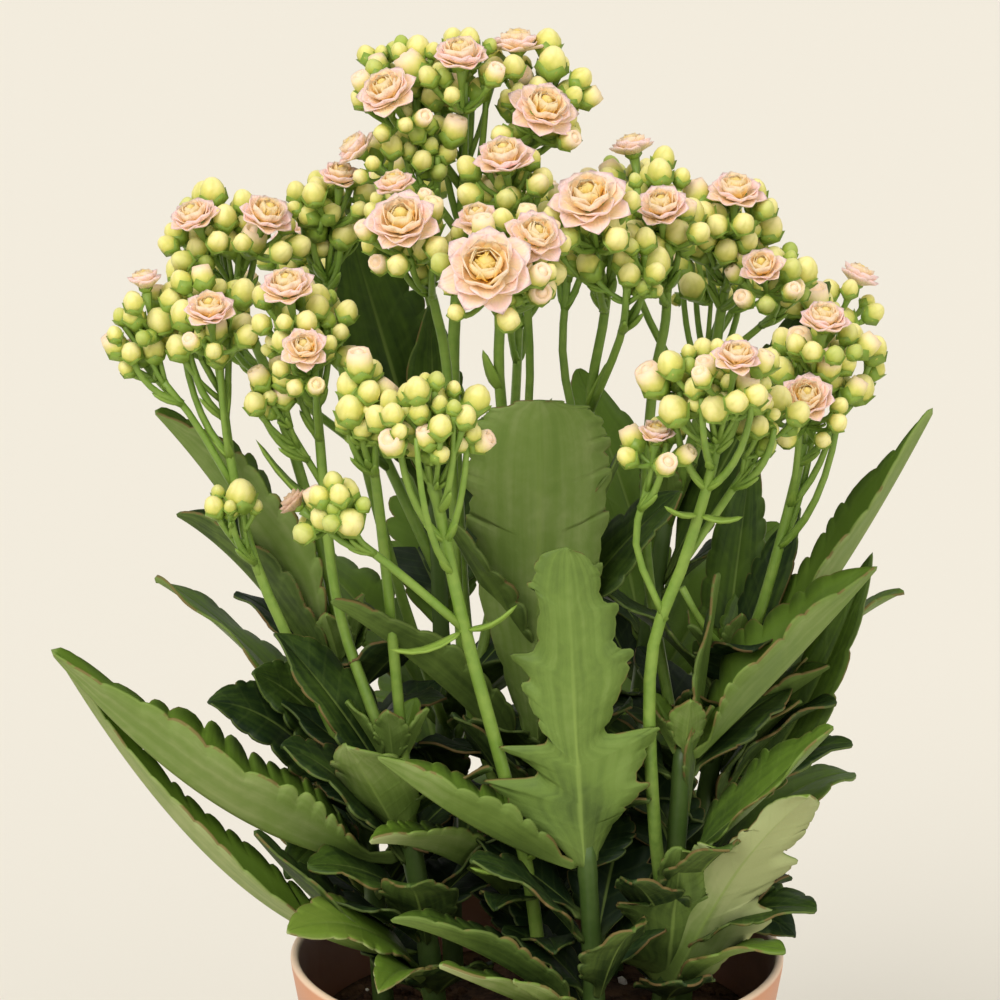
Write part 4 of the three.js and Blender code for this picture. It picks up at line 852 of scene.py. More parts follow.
class BudSkin(Finish):
    """Round closed buds, yellow-green with a paler crown and some with a warm blush; the greener base is
    partly painted shade and the paler crown partly a painted highlight.
    """

    name = "bud_skin"
    YOUNG = srgb(142, 174, 56)
    # the base's own green, with painted shade
    BASE = srgb(146, 172, 54)
    BODY = srgb(218, 214, 108)
    # the crown's own pale colour, with a painted highlight
    CROWN = srgb(246, 234, 160)
    BLUSH = srgb(255, 220, 192)
    SEAM = srgb(180, 178, 74)

    def colour(self, table: NodeTable) -> None:
        """Colours each bud from its base to its crown, with its own tone, partly painted shade low and a
        painted highlight high.
        """
        rise = table.mark(Mark.RISE)
        tone = table.mark(Mark.TONE)
        patches = table.group(EFFECTS.mottle, Scale=260.0, Fine=3.0).outputs[0]
        uneven = table.maths("ADD", rise, table.maths("MULTIPLY", patches, 0.25))
        # base to body to crown: own colour, with painted shade low and a painted highlight high
        skin = table.mix(table.stretch(uneven, 0.2, 0.7), self.BASE, self.BODY)
        skin = table.mix(table.stretch(uneven, 0.6, 1.15), skin, self.CROWN)
        blush = table.maths("MULTIPLY", table.stretch(tone, 0.74, 0.9), table.stretch(rise, 0.5, 1.1))
        skin = table.mix(blush, skin, self.BLUSH)
        seam = table.maths("MULTIPLY", table.stretch(table.mark(Mark.SIDE), -1, 0, 0.4, 0), rise)
        skin = table.mix(seam, skin, self.SEAM)
        young = table.stretch(tone, 0.02, 0.3, 0.75, 0)
        skin = table.mix(young, skin, self.YOUNG)
        pores = table.group(EFFECTS.pores, Scale=1600.0, Strength=0.15, Depth=0.0002)
        self.set(Base_Color=skin, Normal=pores.outputs[0], Roughness=0.5)
        self.set(Specular_IOR_Level=0.35, Subsurface_Weight=0.15, Subsurface_Scale=0.004)
        self.shader.inputs["Subsurface Radius"].default_value = (1.0, 0.8, 0.3)


class PetalSkin(Finish):
    """Petals: pink at the tips of the outer ones, apricot in the cup, yellow at the heart."""

    name = "petal_skin"
    PINK = srgb(255, 216, 210)
    PEACH = srgb(255, 228, 182)
    APRICOT = srgb(255, 224, 146)
    YELLOW = srgb(255, 208, 86)
    FADED = srgb(206, 166, 130)

    def colour(self, table: NodeTable) -> None:
        """Colours a petal from base to tip, by the ring it stands in."""
        rise = table.mark(Mark.RISE)
        ring = table.mark(Mark.TONE)
        side = table.maths("ABSOLUTE", table.mark(Mark.SIDE))
        patches = table.group(EFFECTS.mottle, Scale=200.0, Fine=4.0).outputs[0]
        uneven = table.maths("ADD", rise, table.maths("MULTIPLY", patches, 0.2))
        rim = table.maths("ADD", uneven, table.maths("MULTIPLY", side, 0.15))
        outer = table.mix(table.stretch(rim, 0.65, 1.15), self.PEACH, self.PINK)
        cup = table.mix(table.stretch(uneven, 0.5, 1.15), self.YELLOW, self.PEACH)
        heart = table.mix(table.stretch(uneven, 0.7, 1.3), self.YELLOW, self.APRICOT)
        skin = table.mix(table.stretch(ring, 0.1, 0.5), outer, cup)
        skin = table.mix(table.stretch(ring, 0.55, 0.95), skin, heart)
        skin = table.mix(table.mark(Mark.FADE), skin, self.FADED)
        streaks = table.maths("SINE", table.maths("MULTIPLY", table.mark(Mark.SIDE), 26.0))
        bump = table.add("ShaderNodeBump", Strength=0.2, Distance=0.0002, Height=streaks)
        self.set(Base_Color=skin, Normal=bump.outputs[0], Roughness=0.6)
        self.set(Specular_IOR_Level=0.25, Subsurface_Weight=0.2, Subsurface_Scale=0.004)
        self.shader.inputs["Subsurface Radius"].default_value = (1.0, 0.6, 0.4)


class PotPlastic(Finish):
    """Moulded terracotta-coloured plastic, with a pale painted highlight on the lip."""

    name = "pot_plastic"
    BODY = srgb(205, 138, 98)
    DUSTY = srgb(222, 166, 128)
    LIP_HIGHLIGHT = srgb(240, 214, 184)
    # the inside: soil stain, with painted shade
    STAINED_AND_SHADED = srgb(124, 78, 54)

    def colour(self, table: NodeTable) -> None:
        """Colours the plastic by height, with an inside darkened by stain and painted shade, and a
        painted highlight on the lip.
        """
        height = table.height()
        patches = table.group(EFFECTS.mottle, Scale=18.0, Fine=6.0).outputs[0]
        skin = table.mix(table.maths("MULTIPLY", patches, 0.6), self.BODY, self.DUSTY)
        # the inside is darkened by stain and painted shade
        skin = table.mix(table.mark(Mark.UNDER), skin, self.STAINED_AND_SHADED)
        # painted highlight along the top of the lip
        lip_highlight = table.maths("MULTIPLY", table.stretch(height, 0.1036, 0.1046), 0.85)
        skin = table.mix(lip_highlight, skin, self.LIP_HIGHLIGHT)
        pores = table.group(EFFECTS.pores, Scale=700.0, Strength=0.2, Depth=0.0003)
        self.set(Base_Color=skin, Normal=pores.outputs[0],
                 Roughness=table.stretch(patches, 0, 1, 0.38, 0.55))


class Compost(Finish):
    """Dark peat compost with paler fibre and crumbs."""

    name = "compost"
    PEAT = srgb(46, 31, 22)
    FIBRE = srgb(104, 76, 52)
    PERLITE = srgb(222, 216, 204)

    def colour(self, table: NodeTable) -> None:
        """Colours the compost by grain, and its white grains by their own tone."""
        patches = table.group(EFFECTS.mottle, Scale=160.0, Fine=5.0).outputs[0]
        skin = table.mix(table.maths("MULTIPLY", patches, 0.7), self.PEAT, self.FIBRE)
        skin = table.mix(table.mark(Mark.TONE), skin, self.PERLITE)
        pores = table.group(EFFECTS.pores, Scale=500.0, Strength=0.8, Depth=0.001)
        self.set(Base_Color=skin, Normal=pores.outputs[0], Roughness=0.95)
        self.set(Specular_IOR_Level=0.15)


class StudioPaper(Finish):
    """Plain warm white paper under and behind the object."""

    name = "studio_paper"
    PAPER = srgb(234, 229, 217)

    def colour(self, table: NodeTable) -> None:
        """Gives the paper its one plain colour and a dull face."""
        pores = table.group(EFFECTS.pores, Scale=300.0, Strength=0.03, Depth=0.0002)
        self.set(Base_Color=self.PAPER, Normal=pores.outputs[0], Roughness=0.95)
        self.set(Specular_IOR_Level=0.05)


# ---- benches, stamps and tubes


TURN_GAP = 0.01  # points of a turned form as near as this are one
SEAM_GAP = 0.001


def stand(name: str, data: bpy.types.ID) -> bpy.types.Object:
    """Stands an object with its data in the scene."""
    thing = bpy.data.objects.new(name, data)
    bpy.context.scene.collection.objects.link(thing)
    return thing


def evaluated(thing: bpy.types.Object) -> bpy.types.Mesh:
    """Gives an object's mesh as its curve or its modifiers make it."""
    graph = bpy.context.evaluated_depsgraph_get()
    return bpy.data.meshes.new_from_object(thing.evaluated_get(graph))


class Bench:
    """A mesh under work, in mm, with the marks that its material reads."""

    def __init__(self) -> None:
        """Starts an empty mesh with its marks."""
        self.mesh = bmesh.new()
        self.layers = {mark: self.mesh.verts.layers.float.new(mark.value) for mark in Mark}

    def set_mark(self, verts: Iterable[bmesh.types.BMVert], mark: Mark, value: float) -> None:
        """Gives points one and the same number."""
        layer = self.layers[mark]
        for vert in verts:
            vert[layer] = value

    def turn(self, outline: Sequence[tuple[float, float]], steps: int, inside: int) -> None:
        """Turns an outline round the axis into a closed body.

        Args:
            outline: The radius and height of its points, which start and end on the axis.
            steps: Number of steps in a whole turn.
            inside: The place in the outline from which its points are marked as inside.
        """
        verts = [self.mesh.verts.new((radius, 0, height)) for radius, height in outline]
        edges = [self.mesh.edges.new(pair) for pair in zip(verts, verts[1:])]
        self.set_mark(verts[inside:], Mark.UNDER, 1.0)
        bmesh.ops.spin(self.mesh, geom=verts + edges, cent=(0, 0, 0), axis=(0, 0, 1),
                       angle=math.tau, steps=steps, use_merge=True)
        bmesh.ops.remove_doubles(self.mesh, verts=self.mesh.verts, dist=TURN_GAP)

    def finish(self, name: str, finish: Finish, slot: str, *nodes: str) -> bpy.types.Object:
        """Makes the piece from the mesh and rides it on the root body.

        Args:
            name: The piece's name.
            finish: Its material.
            slot: The record's slot; not used.
            nodes: The solids that it stands for.

        Returns:
            The piece.
        """
        bmesh.ops.scale(self.mesh, vec=(MM, MM, MM), verts=self.mesh.verts)
        bmesh.ops.recalc_face_normals(self.mesh, faces=self.mesh.faces)
        for face in self.mesh.faces:
            face.smooth = True
        data = bpy.data.meshes.new(name)
        self.mesh.to_mesh(data)
        self.mesh.free()
        data.materials.append(finish.material)
        piece = stand(name, data)
        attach(piece, "root")
        if nodes:
            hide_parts(*nodes)
        LOG.info("%s: %d faces", name, len(data.polygons))
        return piece


class Stamp:
    """A small shape that is pressed many times into a bigger mesh."""

    def __init__(self, name: str, bench: Bench) -> None:
        """Keeps what is on a bench as the shape."""
        bmesh.ops.recalc_face_normals(bench.mesh, faces=bench.mesh.faces)
        self.mesh = bpy.data.meshes.new(name)
        bench.mesh.to_mesh(self.mesh)
        bench.mesh.free()

    def press(self, bench: Bench, matrix: Matrix, tone: float, faded: float = 0.0) -> None:
        """Adds the shape to a bench with its own tone."""
        copy = self.mesh.copy()
        copy.transform(matrix)
        for mark, value in ((Mark.TONE, tone), (Mark.FADE, faded)):
            numbers = copy.attributes[mark.value].data
            numbers.foreach_set("value", [value] * len(numbers))
        bench.mesh.from_mesh(copy)
        bpy.data.meshes.remove(copy)


class TubeBundle:
    """Round tubes along routes, gathered in one curve and turned to a mesh."""

    def __init__(self, resolution: int) -> None:
        """Starts an empty bundle.

        Args:
            resolution: The roundness of its tubes: 1 has six sides and 2 has eight.
        """
        self.data = bpy.data.curves.new("tubes", "CURVE")
        self.data.dimensions = "3D"
        self.data.bevel_depth = 1.0
        self.data.bevel_resolution = resolution
        self.data.use_fill_caps = True

    def lay(self, places: Sequence[np.ndarray], radii: Sequence[float]) -> None:
        """Adds a tube through places, with its radius at each."""
        spline = self.data.splines.new("POLY")
        spline.points.add(len(places) - 1)
        for point, place, radius in zip(spline.points, places, radii):
            point.co = (*place, 1.0)
            point.radius = radius

    def pour(self, bench: Bench) -> None:
        """Turns the tubes to a mesh on a bench."""
        holder = stand("tubes", self.data)
        mesh = evaluated(holder)
        closed = bmesh.new()
        closed.from_mesh(mesh)
        bmesh.ops.remove_doubles(closed, verts=closed.verts, dist=SEAM_GAP)
        closed.to_mesh(mesh)
        closed.free()
        bench.mesh.from_mesh(mesh)
        bpy.data.objects.remove(holder)
        bpy.data.curves.remove(self.data)
        bpy.data.meshes.remove(mesh)


def wrap_blade(
    bench: Bench,
    columns: int,
    lanes: int,
    spot: Callable[[int, int, int], tuple[np.ndarray, float, float]],
) -> list[bmesh.types.BMVert]:
    """Wraps a closed skin round a thin blade, drawn to a point at both ends.

    Args:
        bench: The mesh that it joins.
        columns: Number of cross lines, from the root to the tip.
        lanes: Number of lines along each half of a face, without the middle one.
        spot: Gives the place, the rise and the side for a cross line, a line along and a
            face, which is 1 for the upper and -1 for the lower one.

    Returns:
        The points of the skin.
    """
    ring = 4 * lanes + 2
    order = [(-lane, -1) for lane in range(lanes + 1)]
    order += [(lane, 1) for lane in range(-lanes, lanes + 1)]
    order += [(lane, -1) for lane in range(lanes, -1, -1)]
    made = bmesh.ops.create_grid(
        bench.mesh, x_segments=columns - 1, y_segments=ring, size=1.0)["verts"]
    rise, side, under = (bench.layers[mark] for mark in (Mark.RISE, Mark.SIDE, Mark.UNDER))
    ends: dict[int, list[bmesh.types.BMVert]] = {0: [], columns - 1: []}
    seam = []
    for vert in made:
        column = round((vert.co.x + 1) / 2 * (columns - 1))
        row = round((vert.co.y + 1) / 2 * ring)
        lane, face = order[row]
        vert.co, vert[rise], vert[side] = spot(column, lane, face)
        vert[under] = 0.0 if face > 0 else 1.0
        if column in ends:
            ends[column].append(vert)
        elif row in (0, ring):
            seam.append(vert)
    for verts in ends.values():
        middle = sum((vert.co for vert in verts), Vector()) / len(verts)
        bmesh.ops.pointmerge(bench.mesh, verts=verts, merge_co=middle)
    bmesh.ops.remove_doubles(bench.mesh, verts=seam, dist=0.0001)
    return [vert for vert in made if vert.is_valid]


# ---- leaves


@dataclass
class Blade:
    """One leaf blade: a curved midrib with a margin on each side of it.

    Args:
        root: Where the midrib starts.
        tip: Where it ends.
        width: Width of the blade.
        roll: Turn about the midrib, in degrees.
        arch: The midrib's bulge as a share of its length.
        fold: How far the margins stand above the midrib, as a share of the half width.
        left: The left margin.
        right: The right margin.
        rib: Thickness at the midrib.
        edge: Thickness at the margin.
        wave: How far the margin waves up and down.
        groove: Depth of the groove along the midrib's upper face.
        phase: Where the waves start.
    """

    root: np.ndarray
    tip: np.ndarray
    width: float
    roll: float
    arch: float
    fold: float
    left: Margin
    right: Margin
    rib: float = 1.9
    edge: float = 0.6
    groove: float = 0.3
    wave: float = 0.0
    phase: float = 0.0

    LANES = (0.0, 0.07, 0.3, 0.65, 1.0)
    SWEEP = 0.28
    LEVEL_SHARE = 0.2
    SMOOTHER = 1.12

    def __post_init__(self) -> None:
        """Works out the midrib's curve and the level direction across it."""
        self.span = float(np.linalg.norm(self.tip - self.root))
        self.middle = (self.root + self.tip) / 2
        self.middle[2] += self.arch * self.span * 2
        outward = np.array([*(self.tip - self.root)[:2], 0.0])
        if np.linalg.norm(outward) < self.LEVEL_SHARE * self.span:
            outward = np.array([self.tip[0], self.tip[1], 0.0])
        outward = unit(outward)
        self.level = np.array([-outward[1], outward[0], 0.0])
        self.left_body, self.right_body = self._body(self.left), self._body(self.right)

    @staticmethod
    def _body(margin: Margin) -> list[float]:
        """Gives a margin's half widths with its teeth smoothed out."""
        halves = [half for _, half in margin]
        near = 4
        body = []
        for column in range(len(halves)):
            reach = min(near, column, len(halves) - 1 - column)
            body.append(sum(halves[column - reach:column + reach + 1]) / (2 * reach + 1))
        return body

    def frame_at(self, share: float) -> tuple[np.ndarray, np.ndarray, np.ndarray]:
        """Gives a point of the midrib, the way across the blade and the way out of its face."""
        rest = 1 - share
        point = rest * rest * self.root + 2 * rest * share * self.middle + share * share * self.tip
        tangent = unit(rest * (self.middle - self.root) + share * (self.tip - self.middle))
        side = unit(self.level - tangent * self.level.dot(tangent))
        up = np.cross(tangent, side)
        turn = math.radians(self.roll)
        across = side * math.cos(turn) + up * math.sin(turn)
        return point, across, np.cross(tangent, across)

    def spot(
        self, column: int, lane: int, face: int, ribs: Sequence[float]
    ) -> tuple[np.ndarray, float, float]:
        """Gives a point of the skin.

        Args:
            column: Which cross line from the root.
            lane: Which line along the leaf, less than 0 on the left.
            face: 1 on the upper face and -1 on the lower one.
            ribs: The share of the length where each cross line leaves the midrib.

        Returns:
            The point, its share of the length and its share of the half width.
        """
        share, half = (self.left if lane < 0 else self.right)[column]
        out = self.LANES[abs(lane)]
        body = (self.left_body if lane < 0 else self.right_body)[column]
        half = min(body, half * self.SMOOTHER) * (1 - out ** 4) + half * out ** 4
        along = min(max(ribs[column] + (share - ribs[column]) * out ** 1.4, 0.0), 1.0)
        point, across, normal = self.frame_at(along)
        reach = half * self.width * 0.5 * out
        ripple = self.wave * out * out * math.sin(self.phase + 17 * along + (2.1 if lane < 0 else 0))
        fuller = (self.rib - self.edge) / 2 * (1 - out) ** 1.5 * (1 - 0.5 * along)
        thick = face * (self.edge / 2 + fuller)
        if face > 0 and lane == 0:
            thick -= self.groove
        offset = across * math.copysign(reach, lane) + normal * (reach * self.fold + ripple + thick)
        return point + offset, along, math.copysign(out, lane)

    def grow(self, bench: Bench, tone: float) -> None:
        """Adds the blade to a bench as a closed shell.

        Args:
            bench: The mesh that it joins.
            tone: Its shade, from 0 for a dark leaf to 1 for a pale one.
        """
        means = sorted((a[0] + b[0]) / 2 for a, b in zip(self.left, self.right))
        ribs = [share - self.SWEEP * share * (1 - share) for share in means]
        lanes = len(self.LANES) - 1
        skin = wrap_blade(
            bench, len(self.left), lanes,
            lambda column, lane, face: self.spot(column, lane, face, ribs))
        bench.set_mark(skin, Mark.TONE, tone)


class MarginCutter:
    """Cuts the margins of leaves: rounded teeth, or a listed outline."""

    FIRST_TOOTH = 0.17
    LAST_TOOTH = 0.96
    TOOTH_LENGTH = 8.5
    NICK_STEPS = 4
    TOOTH = ((0.0, 1.0), (0.14, 0.62), (0.36, 0.22), (0.62, 0.0), (0.84, 0.05), (0.95, 0.42))
    HAND_CUT = {
        Outline.LOBED: (LOBED_LEFT, LOBED_RIGHT),
        Outline.BLUNT: (BLUNT_HALF, BLUNT_HALF),
        Outline.SPREAD: (SPREAD_LEFT, SPREAD_RIGHT),
    }

    def __init__(self, lottery: Lottery) -> None:
        """Takes the random numbers that make the teeth uneven."""
        self.lottery = lottery

    @staticmethod
    def profile(share: float, swell: float) -> float:
        """Gives the half width of a blade without its teeth, as a share of its widest half."""
        if share < PETIOLE_SHARE:
            return PETIOLE_WIDTH
        along = min((share - PETIOLE_SHARE) / (1 - PETIOLE_SHARE), 1.0)
        body = max(math.sin(math.pi * along ** swell), 0.0) ** 0.75
        return PETIOLE_WIDTH * (1 - along) + (1 - PETIOLE_WIDTH) * body

    def crenate(self, length: float, width: float, swell: float) -> Margin:
        """Cuts a margin of rounded teeth that point to the tip."""
        teeth = max(5, round(length / self.TOOTH_LENGTH))
        sizes = [self.lottery.between(0.55, 1.45) for _ in range(teeth)]
        pitch = (self.LAST_TOOTH - self.FIRST_TOOTH) / sum(sizes)
        margin: Margin = [(0, PETIOLE_WIDTH), (0.06, PETIOLE_WIDTH), (0.12, PETIOLE_WIDTH)]
        start = self.FIRST_TOOTH
        for size in sizes:
            depth = self.lottery.between(0.07, 0.2) * min(1.0, 26 / width) * (0.5 + 0.5 * size)
            for along, cut in self.TOOTH:
                share = start + along * size * pitch
                margin.append((share, self.profile(share, swell) * (1 - depth * cut)))
            start += size * pitch
        margin += [(0.972, self.profile(0.972, swell)), (0.99, self.profile(0.99, swell) * 0.9), (1, 0)]
        return margin

    def nicked(self, margin: Margin) -> Margin:
        """Rounds a listed outline, and nicks it between its lobes."""
        route = Route([(share, half, 0.0) for share, half in margin])
        count = (len(margin) - 1) * self.NICK_STEPS
        cut = []
        for k in range(count + 1):
            place = route.at(k / count)
            nick = self.lottery.between(0.03, 0.1) if k % self.NICK_STEPS == 2 else 0.0
            cut.append((float(place[0]), max(float(place[1]) * (1 - nick), 0.0)))
        return cut

    def margins(self, leaf: Leaf, length: float) -> tuple[Margin, Margin]:
        """Gives the left and the right margin of a leaf."""
        if leaf.outline in self.HAND_CUT:
            left, right = self.HAND_CUT[leaf.outline]
            return self.nicked(left), self.nicked(right)
        pair = [self.crenate(length, leaf.width, leaf.swell) for _ in range(2)]
        return pair[0], pair[1]


@dataclass
class LeafyStem:
    """A leafy stem with its leaves, and small shaded leaves low down that fill its foot."""

    name: str
    leaves: list[Leaf]
    stem_finish: Finish
    leaf_finish: Finish
    lottery: Lottery
    fillers: int = 12
    crown: int = 5
    crown_line: float = -30.0
    steps: int = 18
    filler_low: float = 94.0
    filler_high: float = 188.0
    route: Route = field(init=False)
    radius: tuple[float, float] = field(init=False)

    def __post_init__(self) -> None:
        """Lays the stem's route."""
        points, self.radius = SHOOTS[self.name]
        self.route = Route(points)

    def build(self) -> None:
        """Makes the stem and its leaves."""
        node = f"leafy_stem_{self.name}"
        self._stem().finish(f"{node}_stem", self.stem_finish, "leaf", node)
        bench = Bench()
        cutter = MarginCutter(self.lottery)
        for leaf in self.leaves:
            self._leaf(bench, leaf, cutter)
        for leaf in self._filler_leaves() + self._crown_leaves():
            self._leaf(bench, leaf, cutter)
        bench.finish(f"{node}_leaves", self.leaf_finish, "leaf", node)

    def _stem(self) -> Bench:
        """Makes the stem, a little swollen where leaves leave it."""
        bench = Bench()
        tubes = TubeBundle(2)
        heights = [leaf.height for leaf in self.leaves]
        places, radii = [], []
        for step in range(self.steps + 1):
            share = step / self.steps
            place = self.route.at(share)
            near = min((abs(place[2] - height) for height in heights), default=9.0)
            swollen = 0.35 * max(0.0, 1 - near / 4)
            places.append(place)
            radii.append(self.radius[0] + (self.radius[1] - self.radius[0]) * share + swollen)
        tubes.lay(places, radii)
        tubes.pour(bench)
        bench.set_mark(bench.mesh.verts, Mark.FADE, 1.0)
        return bench

    def _leaf(self, bench: Bench, leaf: Leaf, cutter: MarginCutter) -> None:
        """Grows one leaf of the stem on a bench."""
        root = self.route.at_height(leaf.height)
        tip = np.array(leaf.tip, float)
        root = root + towards(root, tip, LEAF_ROOT_OFFSET)
        left, right = cutter.margins(leaf, float(np.linalg.norm(tip - root)))
        blade = Blade(
            root, tip, leaf.width, leaf.roll, leaf.arch, leaf.fold, left, right,
            wave=0.035 * leaf.width, phase=self.lottery.between(0, math.tau))
        blade.grow(bench, leaf.shade + self.lottery.between(-0.1, 0.1))

    def _crown_leaves(self) -> list[Leaf]:
        """Draws the young leaves that close the top of the stem."""
        top = self.route.at(1)
        start = self.lottery.between(0, math.tau)
        rows: list[Leaf] = []
        if top[1] < self.crown_line:
            return rows
        for k in range(self.crown):
            angle = start + math.tau * k / self.crown
            reach = self.lottery.between(6, 13)
            tip = (top[0] + reach * math.cos(angle), top[1] + reach * math.sin(angle),
                   top[2] + self.lottery.between(9, 18))
            rows.append(Leaf(self.name, float(top[2]) - 1.5, tip, self.lottery.between(7, 11), 0,
                             0.03, fold=0.3, shade=0.4))
        return rows

    def _filler_leaves(self) -> list[Leaf]:
        """Draws small leaves low on the stem, all round it, darkened with painted shade."""
        start = self.lottery.between(0, math.tau)
        top = min(self.filler_high, SHOOTS[self.name][0][-1][2] - 6)
        rows = []
        for k in range(self.fillers):
            height = self.lottery.between(self.filler_low, top)
            angle = start + math.tau * k / self.fillers + self.lottery.between(-0.4, 0.4)
            reach = self.lottery.between(22, 36)
            foot = self.route.at_height(height)
            tip = (foot[0] + reach * math.cos(angle), foot[1] + reach * math.sin(angle),
                   height + self.lottery.between(8, 30))
            if tip[1] < FRONT_LINE and tip[2] > FRONT_TOP:
                continue
            # a shade of 0.08 paints these leaves in deep shade
            rows.append(Leaf(self.name, height, tip, self.lottery.between(16, 24), 0,
                             self.lottery.between(0.02, 0.14), shade=0.08))
        return rows


# ---- sprays of buds


@dataclass
class Bud:
    """A bud in its place: its spray, where its pedicel forks off, its size and its tone.

    The tone runs from 0 for a young green bud to 1 for one that is about to open.
    """

    spray: str
    fork: np.ndarray
    place: np.ndarray
    radius: float
    tone: float = 0.5

    @property
    def facing(self) -> np.ndarray:
        """The way the bud points: along its pedicel, turned up a little."""
        outward = self.place - self.fork
        return unit(outward + np.array([0, 0, 0.5 * np.linalg.norm(outward)]))

    @property
    def neck(self) -> np.ndarray:
        """The top of its pedicel."""
        return self.place - self.facing * self.radius * 1.05


def bent_stalk(fork: np.ndarray, neck: np.ndarray, facing: np.ndarray, share: float) -> np.ndarray:
    """Gives a point of a thin stalk that leaves its limb and turns up under what it carries."""
    bend = neck - facing * float(np.linalg.norm(neck - fork)) * 0.4
    rest = 1 - share
    return rest * rest * fork + 2 * rest * share * bend + share * share * neck


@dataclass(frozen=True)
class BudCrop:
    """How one round of buds fills the heads.

    Args:
        each: Buds for each one that the head's solid has.
        size: Radius, as a share of a full bud's.
        inner: The innermost place, as a share of the way out of the head.
        low: The lowest place, in half heights.
        apart: The least distance between two buds, in their radii.
        ripe: The lowest and the highest tone.
        forked: Whether a pedicel may fork off that of a neighbour.
    """

    each: float
    size: float
    inner: float
    low: float
    apart: float
    ripe: tuple[float, float]
    forked: bool


class BudBook:
    """Where every bud goes. The first ones are those of the solids, and more fill the heads."""

    FLOWER_SHARE = 0.42
    BUD_SHARE = 0.6
    ROUND_FLOWER = 7
    FIRST = BudCrop(1.0, 1.0, 0.6, -0.7, 1.0, (0.3, 1.0), False)
    MORE = (
        BudCrop(2.2, 0.95, 0.45, -0.8, 0.9, (0.25, 1.0), True),
        BudCrop(2.6, 0.66, 0.25, -1.0, 0.85, (0.0, 0.5), True),
    )

    def __init__(self) -> None:
        """Draws every bud."""
        self.routes = {
            name: [Route(limb.route) for limb in plan.limbs] for name, plan in SPRAYS.items()}
        self.centres = np.array([row.centre for row in FLOWERS], float)
        self.widths = np.array([row.width for row in FLOWERS], float)
        self.buds: list[Bud] = []
        self.tones = Lottery(2207)
        self._round(self.FIRST, Lottery(4711))
        extra = Lottery(90210)
        for row in FLOWERS:
            self._surround(row, extra)
        for crop in self.MORE:
            self._round(crop, extra)

    def _round(self, crop: BudCrop, lottery: Lottery) -> None:
        """Fills every head with one round of buds."""
        for name, plan in SPRAYS.items():
            for head in plan.heads:
                self._fill(name, head, crop, lottery)

    def _surround(self, row: FlowerPlan, lottery: Lottery) -> None:
        """Sets buds on the pedicel of an open flower, round it and under its petals."""
        fork, facing, back = self.flower_seat(row)
        branch = bent_stalk(fork, back, facing, 0.5)
        seat = facing_matrix(back, facing)
        start = lottery.between(0, math.tau)
        for k in range(self.ROUND_FLOWER):
            angle = start + math.tau * k / self.ROUND_FLOWER + lottery.between(-0.4, 0.4)
            radius = BUD_RADIUS * lottery.between(0.6, 0.95)
            reach = 0.5 * row.width * lottery.between(0.7, 1.0) + radius
            local = (reach * math.cos(angle), reach * math.sin(angle), lottery.between(-4.5, -1))
            place = np.array(seat @ Vector(local))
            if self._clear(branch, place, radius, self.MORE[0]):
                self.buds.append(Bud(row.spray, branch, place, radius, self.tones.between(0.1, 1)))

    def fork_for(self, name: str, limb: int, place: np.ndarray) -> np.ndarray:
        """Gives the place on a limb where a pedicel leaves it."""
        route = self.routes[name][limb]
        end = route.at(1)
        drop = min(max(8 - 0.6 * (place[2] - end[2]), 0), FORK_SPREAD)
        fork = route.at(1 - min(0.5, (FORK_SINK + drop) / route.length))
        return fork + towards(fork, place, FORK_OFFSET)

    def _neighbour_fork(self, name: str, fork: np.ndarray, place: np.ndarray) -> np.ndarray:
        """Gives a fork on a neighbour's pedicel, or the limb's where there is no close one."""
        near = [bud for bud in self.buds
                if bud.spray == name and np.linalg.norm(bud.place - place) < 4.2 * BUD_RADIUS]
        if not near:
            return fork
        host = min(near, key=lambda bud: float(np.linalg.norm(bud.place - place)))
        branch = bent_stalk(host.fork, host.neck, host.facing, 0.5)
        return branch if np.linalg.norm(branch - place) < np.linalg.norm(fork - place) else fork

    def _fill(self, name: str, head: Head, crop: BudCrop, lottery: Lottery) -> None:
        """Puts buds in a head where they are clear of what is there.

        Args:
            name: The spray.
            head: The head.
            crop: How many buds are wanted and how they stand.
            lottery: The random numbers.
        """
        count = round(head.count * crop.each)
        kept = 0
        for _ in range(BUD_ATTEMPTS * count):
            if kept == count:
                return
            angle = 2 * math.pi * lottery.draw()
            height = (1 - crop.low) * lottery.draw() + crop.low
            reach = crop.inner + (1 - crop.inner) * lottery.draw()
            flat = math.sqrt(1 - height * height) * reach
            radius = crop.size * BUD_RADIUS * (0.8 + 0.4 * lottery.draw())
            place = np.array([
                head.centre[0] + head.half[0] * flat * math.cos(angle),
                head.centre[1] + head.half[1] * flat * math.sin(angle),
                head.centre[2] + head.half[2] * height * reach,
            ])
            fork = self.fork_for(name, head.limb, place)
            if self._clear(fork, place, radius, crop):
                if crop.forked:
                    fork = self._neighbour_fork(name, fork, place)
                self.buds.append(Bud(name, fork, place, radius, self.tones.between(*crop.ripe)))
                kept += 1

    def _clear(
        self, fork: np.ndarray, place: np.ndarray, radius: float, crop: BudCrop
    ) -> bool:
        """Tells whether a bud and its pedicel are clear of flowers and other buds."""
        if crop.forked:
            gaps = np.linalg.norm(self.centres - place, axis=1)
        else:
            gaps = gap_to_lines(self.centres, fork[None], place[None])
        if not (gaps > self.widths * self.FLOWER_SHARE + radius * self.BUD_SHARE).all():
            return False
        if not self.buds:
            return True
        places = np.array([bud.place for bud in self.buds])
        radii = np.array([bud.radius for bud in self.buds])
        apart = np.linalg.norm(places - place, axis=1)
        if crop.forked:
            return bool((apart > (radii + radius) * crop.apart).all())
        forks = np.array([bud.fork for bud in self.buds])
        return bool(
            (apart > radii + radius + GAP).all()
            and (gap_to_lines(places, fork[None], place[None]) > radii + PEDICEL_RADIUS).all()
            and (gap_to_lines(place[None], forks, places) > radius + PEDICEL_RADIUS).all()
        )

